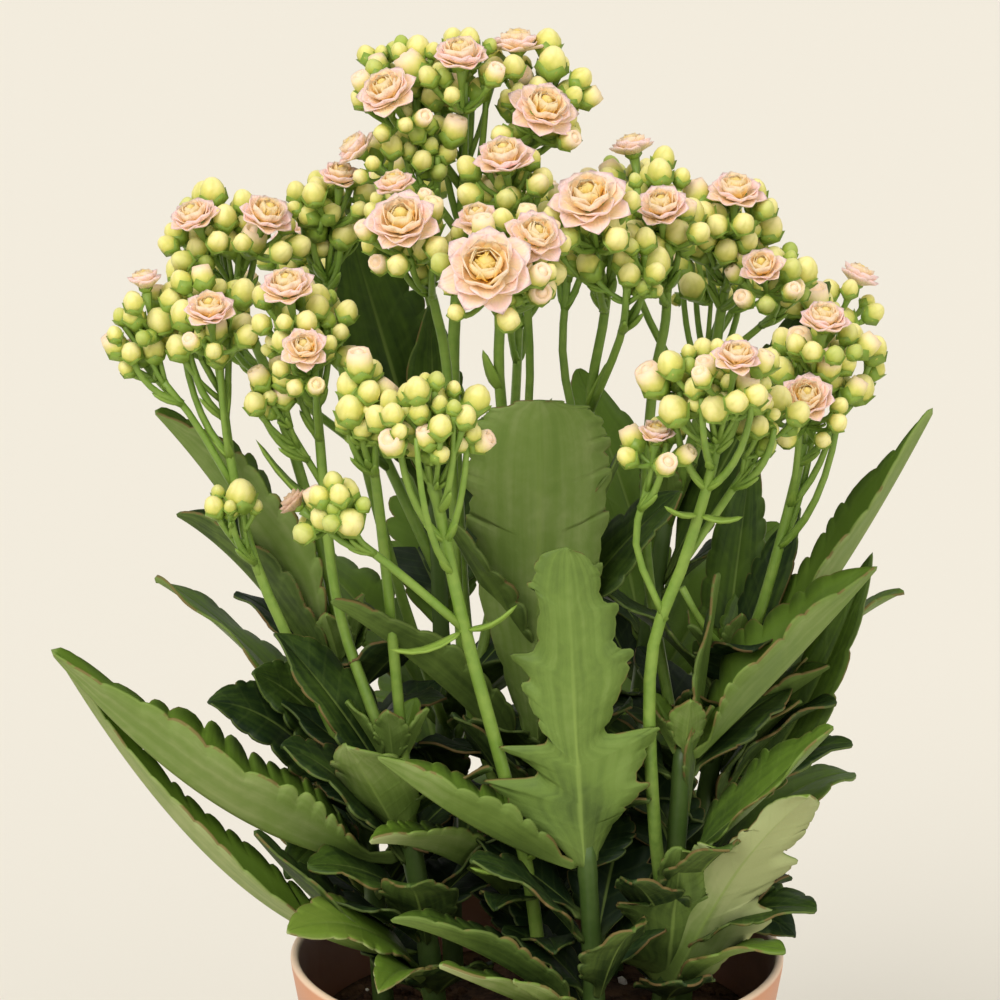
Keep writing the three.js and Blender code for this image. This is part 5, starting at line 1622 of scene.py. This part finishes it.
    def flower_seat(self, row: FlowerPlan) -> tuple[np.ndarray, np.ndarray, np.ndarray]:
        """Gives the root of a flower's pedicel, the way it faces and the back of it."""
        centre = np.array(row.centre, float)
        fork = self.fork_for(row.spray, SPRAYS[row.spray].heads[row.head].limb, centre)
        facing = unit(centre - fork)
        facing[2] += 0.25
        facing = unit(facing)
        return fork, facing, centre - facing * 0.2 * row.width


class SmallShapes:
    """The stamps for buds, for buds that open and for calyces."""

    # Rings from the top of an opening bud to its foot: radius, height, and what its petals add to both.
    OPENING = (
        (0.0, 1.34, 0.0, 0.0), (0.2, 1.34, 0.03, 0.12), (0.38, 1.12, 0.05, 0.12), (0.5, 0.86, 0.0, 0.0),
        (0.6, 1.16, 0.1, 0.3), (0.78, 1.28, 0.18, 0.4), (0.96, 0.66, 0.08, 0.1), (1.0, 0.0, 0.02, 0.0),
        (0.74, -0.7, 0.0, 0.0), (0.0, -1.0, 0.0, 0.0))

    def __init__(self) -> None:
        """Makes the stamps."""
        self.bud = self._bud()
        self.opening = self._opening()
        self.calyx = self._calyx()

    @staticmethod
    def _bud() -> Stamp:
        """An egg-shaped bud, 1 in radius, with four petals that wind round its crown."""
        bench = Bench()
        made = bmesh.ops.create_uvsphere(bench.mesh, u_segments=8, v_segments=8, radius=1.0)["verts"]
        rise, side = bench.layers[Mark.RISE], bench.layers[Mark.SIDE]
        for vert in made:
            height = vert.co.z
            level = math.sqrt(max(1 - height * height, 0))
            angle = math.atan2(vert.co.y, vert.co.x)
            fold = math.cos(4 * angle)
            full = level * (1 + 0.045 * fold * level) * (1 - 0.1 * max(height, 0) ** 2)
            twisted = angle + 0.5 * height
            vert.co = (full * math.cos(twisted), full * math.sin(twisted),
                       height * (1.2 if height > 0 else 1.05))
            vert[rise] = (height + 1) / 2
            vert[side] = fold * level
        return Stamp("bud_shape", bench)

    def _opening(self) -> Stamp:
        """A bud whose five petals part at the top, round the tips of the inner ones."""
        bench = Bench()
        last = len(self.OPENING) - 1
        made = bmesh.ops.create_uvsphere(
            bench.mesh, u_segments=10, v_segments=last, radius=1.0)["verts"]
        rise, side = bench.layers[Mark.RISE], bench.layers[Mark.SIDE]
        for vert in made:
            ring = round(math.acos(max(-1.0, min(1.0, vert.co.z))) / math.pi * last)
            angle = math.atan2(vert.co.y, vert.co.x)
            petal = math.cos(5 * angle)
            radius, height, wider, higher = self.OPENING[ring]
            radius += wider * petal
            vert.co = (radius * math.cos(angle), radius * math.sin(angle), height + higher * petal / 2)
            vert[rise] = min(1.0, (vert.co.z + 1) / 2.2)
            vert[side] = petal
        return Stamp("opening_shape", bench)

    @staticmethod
    def _calyx() -> Stamp:
        """A small cup with four pointed sepals, for a bud of radius 1."""
        bench = Bench()
        made = bmesh.ops.create_cone(
            bench.mesh, cap_ends=True, segments=8, radius1=0.45, radius2=1.14, depth=0.8)["verts"]
        bmesh.ops.translate(bench.mesh, vec=(0, 0, -0.82), verts=made)
        top = [vert for vert in made if vert.co.z > -0.82]
        lid = [face for face in bench.mesh.faces if all(vert in top for vert in face.verts)]
        for vert in top:
            sepal = round(math.atan2(vert.co.y, vert.co.x) / (math.pi / 4)) % 2 == 0
            vert.co.z += 0.56 if sepal else -0.1
            spread = 1.08 if sepal else 1.0
            vert.co.x *= spread
            vert.co.y *= spread
        bmesh.ops.poke(bench.mesh, faces=lid, offset=-0.2)
        return Stamp("calyx_shape", bench)


@dataclass
class Spray:
    """A flower stalk with its branches, bracts, pedicels, calyces and buds."""

    name: str
    book: BudBook
    shapes: SmallShapes
    stalk_finish: Finish
    bud_finish: Finish
    lottery: Lottery
    bract_margin: Margin = field(default_factory=lambda: [
        (0, 0.5), (0.15, 0.7), (0.35, 1.0), (0.55, 0.95), (0.75, 0.7), (0.9, 0.4), (1, 0)])

    BRACTLET_SHARE = 0.35
    TWIG_DROP = 10.0
    TWIG_STEP = 10.0

    def build(self) -> None:
        """Makes the green parts and the buds."""
        node = f"spray_{self.name}"
        green = Bench()
        self._limbs(green)
        self._twigs(green)
        self._bracts(green)
        buds = Bench()
        self._buds(green, buds)
        self._flower_stalks(green)
        # paints these stalks lit down to their foot, without the painted shade low down
        if self.name in OUTSIDE_SPRAYS:
            green.set_mark(green.mesh.verts, Mark.UNDER, 1.0)
        green.finish(f"{node}_stalks", self.stalk_finish, "spray", node)
        buds.finish(f"{node}_buds", self.bud_finish, "spray", node)

    def _limbs(self, bench: Bench) -> None:
        """Lays the stalk and its branches, thicker where they fork."""
        tubes = TubeBundle(2)
        for limb, route in zip(SPRAYS[self.name].limbs, self.book.routes[self.name]):
            steps = max(4, round(route.length / 7))
            shares = [step / steps for step in range(steps + 1)]
            radii = [limb.low + (limb.high - limb.low) * share for share in shares]
            radii[-1] *= 1.15
            tubes.lay([route.at(share) for share in shares], radii)
        tubes.pour(bench)

    def _twigs(self, bench: Bench) -> None:
        """Lays pairs of thin branches that leave the limb below a head and curve up into it."""
        tubes = TubeBundle(1)
        for head in SPRAYS[self.name].heads:
            route = self.book.routes[self.name][head.limb]
            centre, half = np.array(head.centre, float), np.array(head.half, float)
            start = self.lottery.between(0, math.tau)
            for pair in range(min(4, 1 + head.count // 3)):
                drop = self.TWIG_DROP + self.TWIG_STEP * pair
                fork = route.at(1 - min(0.6, drop / route.length))
                for turn in (0.0, math.pi):
                    angle = start + 1.3 * pair + turn + self.lottery.between(-0.4, 0.4)
                    aside = np.array([math.cos(angle), math.sin(angle), -0.45])
                    end = centre + half * aside * (0.5 + 0.1 * pair)
                    bend = fork + (end - fork) * np.array([0.85, 0.85, 0.3])
                    places = [(1 - share) ** 2 * fork + 2 * share * (1 - share) * bend
                              + share * share * end for share in np.linspace(0, 1, 8)]
                    tubes.lay(places, [1.05, 0.95, 0.9, 0.85, 0.8, 0.8, 0.75, 0.7])
                    self._twig_bract(bench, fork, end, 1.0)
        tubes.pour(bench)

    def _twig_bract(
        self, bench: Bench, fork: np.ndarray, end: np.ndarray, scale: float
    ) -> None:
        """Grows the narrow small leaf in the armpit of a thin branch or of a pedicel."""
        outward = unit((end - fork) * np.array([1, 1, 0.4]))
        size = scale * self.lottery.between(6, 10)
        blade = Blade(fork, fork + outward * size, 2.2 * scale, 0, -0.12, 0.3, self.bract_margin,
                      self.bract_margin, rib=0.7, edge=0.6, groove=0.0)
        blade.grow(bench, 0.4)

    def _bracts(self, bench: Bench) -> None:
        """Grows the small leaves at the forks."""
        for start, end, width in SPRAYS[self.name].bracts:
            blade = Blade(
                np.array(start, float), np.array(end, float), width * 1.2, 0, -0.16, 0.35,
                self.bract_margin, self.bract_margin, rib=0.8, edge=0.6, groove=0.1)
            blade.grow(bench, 0.6)

    def _buds(self, green: Bench, buds: Bench) -> None:
        """Stands every bud of the spray on its pedicel, in its calyx."""
        tubes = TubeBundle(1)
        for bud in self.book.buds:
            if bud.spray != self.name:
                continue
            self._pedicel(tubes, bud.fork, bud.neck, bud.facing, 0.5)
            matrix = facing_matrix(bud.place, bud.facing) @ Matrix.Scale(bud.radius, 4)
            turn = Matrix.Rotation(self.lottery.between(0, math.tau), 4, "Z")
            shape = self.shapes.opening if bud.tone > OPENING_TONE else self.shapes.bud
            shape.press(buds, matrix @ turn, bud.tone)
            self.shapes.calyx.press(green, matrix @ turn, 1.0)
            if self.lottery.draw() < self.BRACTLET_SHARE:
                self._twig_bract(green, bud.fork, bud.neck, 0.6)
        tubes.pour(green)

    @staticmethod
    def _pedicel(
        tubes: TubeBundle, fork: np.ndarray, neck: np.ndarray, direction: np.ndarray, top: float
    ) -> None:
        """Lays a pedicel, which is thicker at its fork and under what it carries."""
        places = [bent_stalk(fork, neck, direction, step / 5) for step in range(6)]
        tubes.lay(places, [PEDICEL_RADIUS * 1.15, 0.66, 0.6, 0.62, 0.72, top + 0.45])

    def _flower_stalks(self, green: Bench) -> None:
        """Stands a pedicel and a calyx under every open flower of the spray."""
        tubes = TubeBundle(1)
        for row in FLOWERS:
            if row.spray != self.name:
                continue
            fork, facing, back = self.book.flower_seat(row)
            size = 0.17 * row.width
            self._pedicel(tubes, fork, back - facing * size * 0.3, facing, 0.8)
            matrix = facing_matrix(back + facing * size * 0.75, facing) @ Matrix.Scale(size, 4)
            self.shapes.calyx.press(green, matrix, 1.0)
        tubes.pour(green)


# ---- open flowers


@dataclass(frozen=True)
class PetalRing:
    """A ring of petals, in shares of the flower's width.

    Args:
        reach: How far out the tips stand in a flower that is wide open.
        closed_reach: The same in one that is nearly closed.
        height: How high the tips stand in an open flower.
        closed_height: The same in one that is nearly closed.
        width: Width of a petal.
        tone: The place of its colour, from 0 for the outside to 1 for the heart.
        cup: How deep a petal is hollowed across.
        curl: How far its tip turns back, or in where it is less than 0.
        turn: How far the ring is turned, in petals.
        point: How pointed the petals are.
        fewer: How many petals it has less than the flower's number, or more where it is
            less than 0.
    """

    reach: float
    closed_reach: float
    height: float
    closed_height: float
    width: float
    tone: float
    cup: float
    curl: float
    turn: float
    point: float
    fewer: int = 0


PETAL_RINGS: tuple[PetalRing, ...] = (
    PetalRing(0.58, 0.46, 0.1, 0.4, 0.4, 0.0, 0.14, 0.08, 0.0, 4.5, -1),
    PetalRing(0.48, 0.4, 0.22, 0.48, 0.42, 0.1, 0.18, 0.04, 0.5, 4.1, -1),
    PetalRing(0.35, 0.32, 0.32, 0.52, 0.42, 0.35, 0.24, -0.02, 0.2, 3.4),
    PetalRing(0.24, 0.24, 0.36, 0.52, 0.38, 0.65, 0.26, -0.1, 0.7, 2.8),
    PetalRing(0.16, 0.17, 0.36, 0.5, 0.3, 0.9, 0.26, -0.16, 0.4, 2.2, 1),
)


class PetalStamps:
    """A petal shape for each ring of the rosette."""

    ACROSS = 2
    ALONG = 6

    def __init__(self) -> None:
        """Makes one stamp a ring."""
        self.stamps = [self._petal(ring) for ring in PETAL_RINGS]

    @staticmethod
    def _half(share: float, point: float) -> float:
        """Gives a petal's half width at a share of its length: narrow, full, then pointed."""
        return 0.5 * (0.34 + 0.66 * math.sin(math.pi * min(share * 0.82 + 0.02, 1.0)) ** 0.8) * (
            1 - max(0.0, share - 0.72) ** 1.5 * point)

    def _petal(self, ring: PetalRing) -> Stamp:
        """A petal of length 1 and width 1 along +Y, hollow on its +Z side."""
        bench = Bench()

        def spot(column: int, lane: int, face: int) -> tuple[np.ndarray, float, float]:
            """Gives a point of the petal's skin."""
            across = lane / self.ACROSS
            along = column / self.ALONG
            hollow = ring.cup * across * across * (0.3 + along)
            height = hollow - ring.curl * along ** 3 + 0.05 * along * (1 - along) + 0.02 * face
            return np.array([across * self._half(along, ring.point), along, height]), along, across

        wrap_blade(bench, self.ALONG + 1, self.ACROSS, spot)
        return Stamp("petal_shape", bench)


@dataclass
class Rosette:
    """An open double flower: five rings of petals round a tight domed heart."""

    number: int
    row: FlowerPlan
    book: BudBook
    petals: PetalStamps
    shapes: SmallShapes
    finish: Finish
    lottery: Lottery

    def build(self) -> None:
        """Makes the flower."""
        bench = Bench()
        _, facing, back = self.book.flower_seat(self.row)
        seat = facing_matrix(back, facing)
        for ring, stamp in zip(PETAL_RINGS, self.petals.stamps):
            self._ring(bench, seat, ring, stamp)
        height = 0.29 + 0.13 * (1 - self.row.opened)
        heart = seat @ Matrix.Translation((0, 0, height * self.row.width))
        size = 0.125 * self.row.width
        self.shapes.bud.press(bench, heart @ Matrix.Scale(size, 4), 1.0, self.row.faded)
        name = f"flower_{self.number:02d}"
        bench.finish(f"{name}_petals", self.finish, "petal", name)

    def _ring(self, bench: Bench, seat: Matrix, ring: PetalRing, stamp: Stamp) -> None:
        """Sets one ring of petals in its seat."""
        width, opened = self.row.width, self.row.opened
        count = (6 if width >= SMALL_FLOWER else 5) - ring.fewer
        reach = ring.closed_reach + (ring.reach - ring.closed_reach) * opened
        height = ring.closed_height + (ring.height - ring.closed_height) * opened
        for k in range(count):
            angle = math.tau * (k + ring.turn) / count + self.lottery.between(-0.12, 0.12)
            tilt = math.atan2(height, reach) + self.lottery.between(-0.1, 0.1)
            length = math.hypot(reach, height) * width * self.lottery.between(0.96, 1.06)
            girth = ring.width * width * self.lottery.between(0.92, 1.1)
            shape = Matrix.Diagonal((girth, length, width * 0.5, 1))
            turn = Matrix.Rotation(angle, 4, "Z") @ Matrix.Rotation(tilt, 4, "X")
            stamp.press(bench, seat @ turn @ shape, ring.tone, self.row.faded)

# ---- pot and compost


@dataclass
class Pot:
    """A round nursery pot with a collar, a rolled lip and four drain holes."""

    finish: Finish
    sides: int = 96
    lip: float = 1.0
    foot_edge: tuple[float, float] = (1.0, 0.8)
    collar_step: tuple[float, float, float] = (0.3, 0.5, 1.0)
    collar_top: tuple[float, float] = (102.5, 0.2)
    lip_start: float = -20.0
    lip_turn: float = 200.0
    lip_steps: int = 6
    low_wall: tuple[float, float] = (30.0, 4.0)
    fillet: float = 1.2

    DRILL_SIDES = 24
    DRILL_DEPTH = 10

    @staticmethod
    def wall_radius(height: float) -> float:
        """Gives the outer radius of the tapered wall at a height."""
        return POT_FOOT_RADIUS + (POT_RIM_RADIUS - RIM_STEP - POT_FOOT_RADIUS) * height / POT_HEIGHT

    def build(self) -> None:
        """Makes the pot."""
        bench = Bench()
        outline = self._profile()
        rim = max(range(len(outline)), key=lambda place: outline[place][1])
        bench.turn(outline, self.sides, inside=rim + self.lip_steps // 2)
        piece = bench.finish("pot_shell", self.finish, "pot", "pot")
        self._drill(piece)

    def _profile(self) -> list[tuple[float, float]]:
        """Gives the wall's outline, from the middle of the foot round to the floor inside."""
        low = POT_HEIGHT - RIM_BAND
        wall = self.wall_radius(low)
        back, up = self.foot_edge
        below, out, above = self.collar_step
        top, slant = self.collar_top
        outline = [(0.0, 0.0), (POT_FOOT_RADIUS - back, 0.0), (POT_FOOT_RADIUS, up), (wall, low - below)]
        outline += [(wall + out, low), (wall + RIM_STEP, low + above), (POT_RIM_RADIUS - slant, top)]
        for step in range(self.lip_steps + 1):
            angle = math.radians(self.lip_start + self.lip_turn * step / self.lip_steps)
            radius = POT_RIM_RADIUS - self.lip + self.lip * math.cos(angle)
            outline.append((radius, POT_HEIGHT - self.lip + self.lip * math.sin(angle)))
        middle, low = self.low_wall
        foot = self.wall_radius(low) - POT_WALL
        outline += [(self.wall_radius(POT_HEIGHT) - POT_WALL, 102.0)]
        outline += [(self.wall_radius(middle) - POT_WALL, middle), (foot, FLOOR_THICKNESS + self.fillet)]
        return outline + [(foot - self.fillet, FLOOR_THICKNESS), (0.0, FLOOR_THICKNESS)]

    def _drill(self, piece: bpy.types.Object) -> None:
        """Cuts the drain holes through the floor of the finished pot."""
        bench = bmesh.new()
        for hole in range(DRAIN_COUNT):
            angle = math.pi * (2 * hole + 1) / DRAIN_COUNT
            place = Vector((DRAIN_RING * math.cos(angle), DRAIN_RING * math.sin(angle), 1)) * MM
            bmesh.ops.create_cone(
                bench, cap_ends=True, segments=self.DRILL_SIDES, radius1=DRAIN_RADIUS * MM,
                radius2=DRAIN_RADIUS * MM, depth=self.DRILL_DEPTH * MM, matrix=Matrix.Translation(place))
        data = bpy.data.meshes.new("drill")
        bench.to_mesh(data)
        bench.free()
        drill = stand("drill", data)
        cut = piece.modifiers.new("drains", "BOOLEAN")
        cut.operation = "DIFFERENCE"
        cut.object = drill
        mesh = evaluated(piece)
        piece.modifiers.clear()
        piece.data = mesh
        bpy.data.objects.remove(drill)


@dataclass
class CompostFill:
    """The compost in the pot: an uneven mound with crumbs and white grains on it."""

    finish: Finish
    lottery: Lottery
    rings: int = 22
    sides: int = 72
    slope: float = 0.4
    swells: tuple[float, float] = (0.7, 0.16)
    lumps: tuple[float, float] = (0.45, 0.5)
    sunk: float = 0.5
    crumbs: int = 420
    crumb_size: tuple[float, float] = (0.5, 1.7)
    white_share: float = 0.08

    EDGE_FALL = 12  # how fast the waves die out at the wall
    LUMP_LEVEL = 9  # where the lumps are read in the noise
    CRUMB_SHAPE = (1.3, 1.0, 0.7)
    CRUMB_AXIS = (0.4, 0.5, 0.8)
    CRUMB_ROUGHNESS, CRUMB_LIFT, CRUMB_REACH = 0.35, 0.15, 0.97

    def build(self) -> None:
        """Makes the compost and its crumbs."""
        self._body().finish("soil_mound", self.finish, "soil", "soil")
        self._crumbs().finish("soil_crumbs", self.finish, "soil")

    @staticmethod
    def _radius(height: float) -> float:
        """Gives the compost's radius at a height."""
        return Pot.wall_radius(height) - POT_WALL - GAP

    def _surface(self, x: float, y: float) -> float:
        """Works out the height of the compost's uneven top.

        Args:
            x: The place across.
            y: The place in depth.

        Returns:
            The height.
        """
        out = math.hypot(x, y) / self._radius(SOIL_TOP)
        mound = SOIL_MOUND * min(1.0, (1 - out) / self.slope)
        (high, close), (lump_high, lump_close) = self.swells, self.lumps
        waves = (high * noise.noise(Vector((x, y, 0)) * close)
                 + lump_high * noise.noise(Vector((x, y, self.LUMP_LEVEL)) * lump_close))
        return SOIL_TOP + mound + (waves - self.sunk) * min(1.0, (1 - out) * self.EDGE_FALL)

    def _body(self) -> Bench:
        """Makes the compost as one closed body."""
        bench = Bench()
        bottom = FLOOR_THICKNESS + GAP
        rim = self._radius(SOIL_TOP)
        outline = [(0.0, bottom), (self._radius(bottom), bottom)]
        outline += [(rim * (1 - k / self.rings), SOIL_TOP) for k in range(self.rings + 1)]
        bench.turn(outline, self.sides, inside=len(outline))
        for vert in bench.mesh.verts:
            if vert.co.z > SOIL_TOP - 1:
                vert.co.z = self._surface(vert.co.x, vert.co.y)
        return bench

    def _crumbs(self) -> Bench:
        """Strews crumbs over the compost."""
        shape = Bench()
        for vert in bmesh.ops.create_icosphere(shape.mesh, subdivisions=1, radius=1.0)["verts"]:
            vert.co *= 1 + self.CRUMB_ROUGHNESS * noise.noise(vert.co * 3.1)
        stamp = Stamp("crumb_shape", shape)
        bench = Bench()
        for _ in range(self.crumbs):
            reach = self._radius(SOIL_TOP) * self.CRUMB_REACH * math.sqrt(self.lottery.draw())
            angle = self.lottery.between(0, math.tau)
            x, y = reach * math.cos(angle), reach * math.sin(angle)
            size = self.lottery.between(*self.crumb_size)
            spin = Matrix.Rotation(self.lottery.between(0, math.tau), 4, Vector(self.CRUMB_AXIS))
            flat = Matrix.Diagonal((*(size * share for share in self.CRUMB_SHAPE), 1))
            place = Matrix.Translation((x, y, self._surface(x, y) + self.CRUMB_LIFT * size))
            white = 1.0 if self.lottery.draw() < self.white_share else 0.0
            stamp.press(bench, place @ spin @ flat, white)
        return bench


# ---- studio


@dataclass
class SoftSun:
    """A wide, even studio light that lights near and far alike."""

    name: str
    place: Point
    aim: Point
    spread: float
    power: float
    tint: tuple[float, float, float]

    def hang(self) -> None:
        """Hangs the light and points it."""
        data = bpy.data.lights.new(self.name, "SUN")
        data.angle = math.radians(self.spread)
        data.energy = self.power
        data.color = self.tint
        lamp = stand(self.name, data)
        lamp.location = self.place
        lamp.rotation_euler = (Vector(self.aim) - lamp.location).to_track_quat("-Z", "Y").to_euler()


@dataclass
class Studio:
    """Plain pale floor, soft light and the camera, in metres."""

    paper: Finish
    camera_place: Point = (-0.009, -1.0, 0.469)
    camera_dip: float = 14.1
    focal_share: float = 4.345
    sensor: float = 36.0
    floor_half: float = 12.0
    lamps: tuple[SoftSun, ...] = (
        SoftSun("key_light", (-0.7, -1.2, 1.5), (0, 0, 0.2), 40, 1.95, (1.0, 0.985, 0.97)),
        SoftSun("fill_light", (0.9, -1.3, 0.9), (0, 0, 0.2), 60, 0.75, (1.0, 0.985, 0.97)),
    )
    sky: Colour = srgb(250, 248, 244)
    sky_strength: float = 0.6

    def build(self) -> None:
        """Sets up the floor, lamps, sky and camera."""
        self._floor()
        for lamp in self.lamps:
            lamp.hang()
        self._sky()
        self._camera()
        bpy.context.scene.view_settings.view_transform = "Standard"
        LOG.info("studio: %d lamps", len(self.lamps))

    def _floor(self) -> None:
        """Lays the pale floor."""
        mesh = bmesh.new()
        bmesh.ops.create_grid(mesh, x_segments=2, y_segments=2, size=self.floor_half)
        data = bpy.data.meshes.new("studio_floor")
        mesh.to_mesh(data)
        mesh.free()
        data.materials.append(self.paper.material)
        stand("studio_floor", data)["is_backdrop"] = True

    def _sky(self) -> None:
        """Fills the room with even light."""
        world = bpy.data.worlds.new("studio_light")
        world.use_nodes = True
        background = world.node_tree.nodes["Background"]
        background.inputs["Color"].default_value = self.sky
        background.inputs["Strength"].default_value = self.sky_strength
        bpy.context.scene.world = world

    def _camera(self) -> None:
        """Stands the camera where the picture was taken from."""
        data = bpy.data.cameras.new("camera")
        data.sensor_width = self.sensor
        data.lens = self.focal_share * self.sensor
        camera = stand("camera", data)
        camera.location = self.camera_place
        camera.rotation_euler = (math.radians(90 - self.camera_dip), 0, 0)
        bpy.context.scene.camera = camera


# ---- assembly

PLANT_SEED, CRUMB_SEED = 1207, 333


def build_plant() -> None:
    """Builds the leafy stems, sprays and flowers."""
    leaf_skin, stalk_skin = LeafSkin(), StalkSkin()
    bud_skin, petal_skin = BudSkin(), PetalSkin()
    book, shapes, petals = BudBook(), SmallShapes(), PetalStamps()
    lottery = Lottery(PLANT_SEED)
    for name in SHOOTS:
        leaves = [leaf for leaf in LEAVES if leaf.shoot == name]
        LeafyStem(name, leaves, stalk_skin, leaf_skin, lottery).build()
    for name in SPRAYS:
        Spray(name, book, shapes, stalk_skin, bud_skin, lottery).build()
    for number, row in enumerate(FLOWERS, start=1):
        Rosette(number, row, book, petals, shapes, petal_skin, lottery).build()
    LOG.info("buds: %d", len(book.buds))


def write_sizes(make_box: Callable[[], tuple[Vector, Vector]]) -> None:
    """Logs the box of the solids and the box of the dressed model."""
    boxes = {"cad": [list(corner) for corner in CAD_BOX], "visual": [list(c) for c in make_box()]}
    LOG.info("sizes: %s", boxes)


def main() -> None:
    """Builds the pot, the compost, the plant and the studio, in that order."""
    logging.basicConfig(level=logging.INFO, format="%(message)s")
    Pot(PotPlastic()).build()
    CompostFill(Compost(), Lottery(CRUMB_SEED)).build()
    build_plant()
    Studio(StudioPaper()).build()
    write_sizes(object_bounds)


if __name__ == "__main__":
    main()
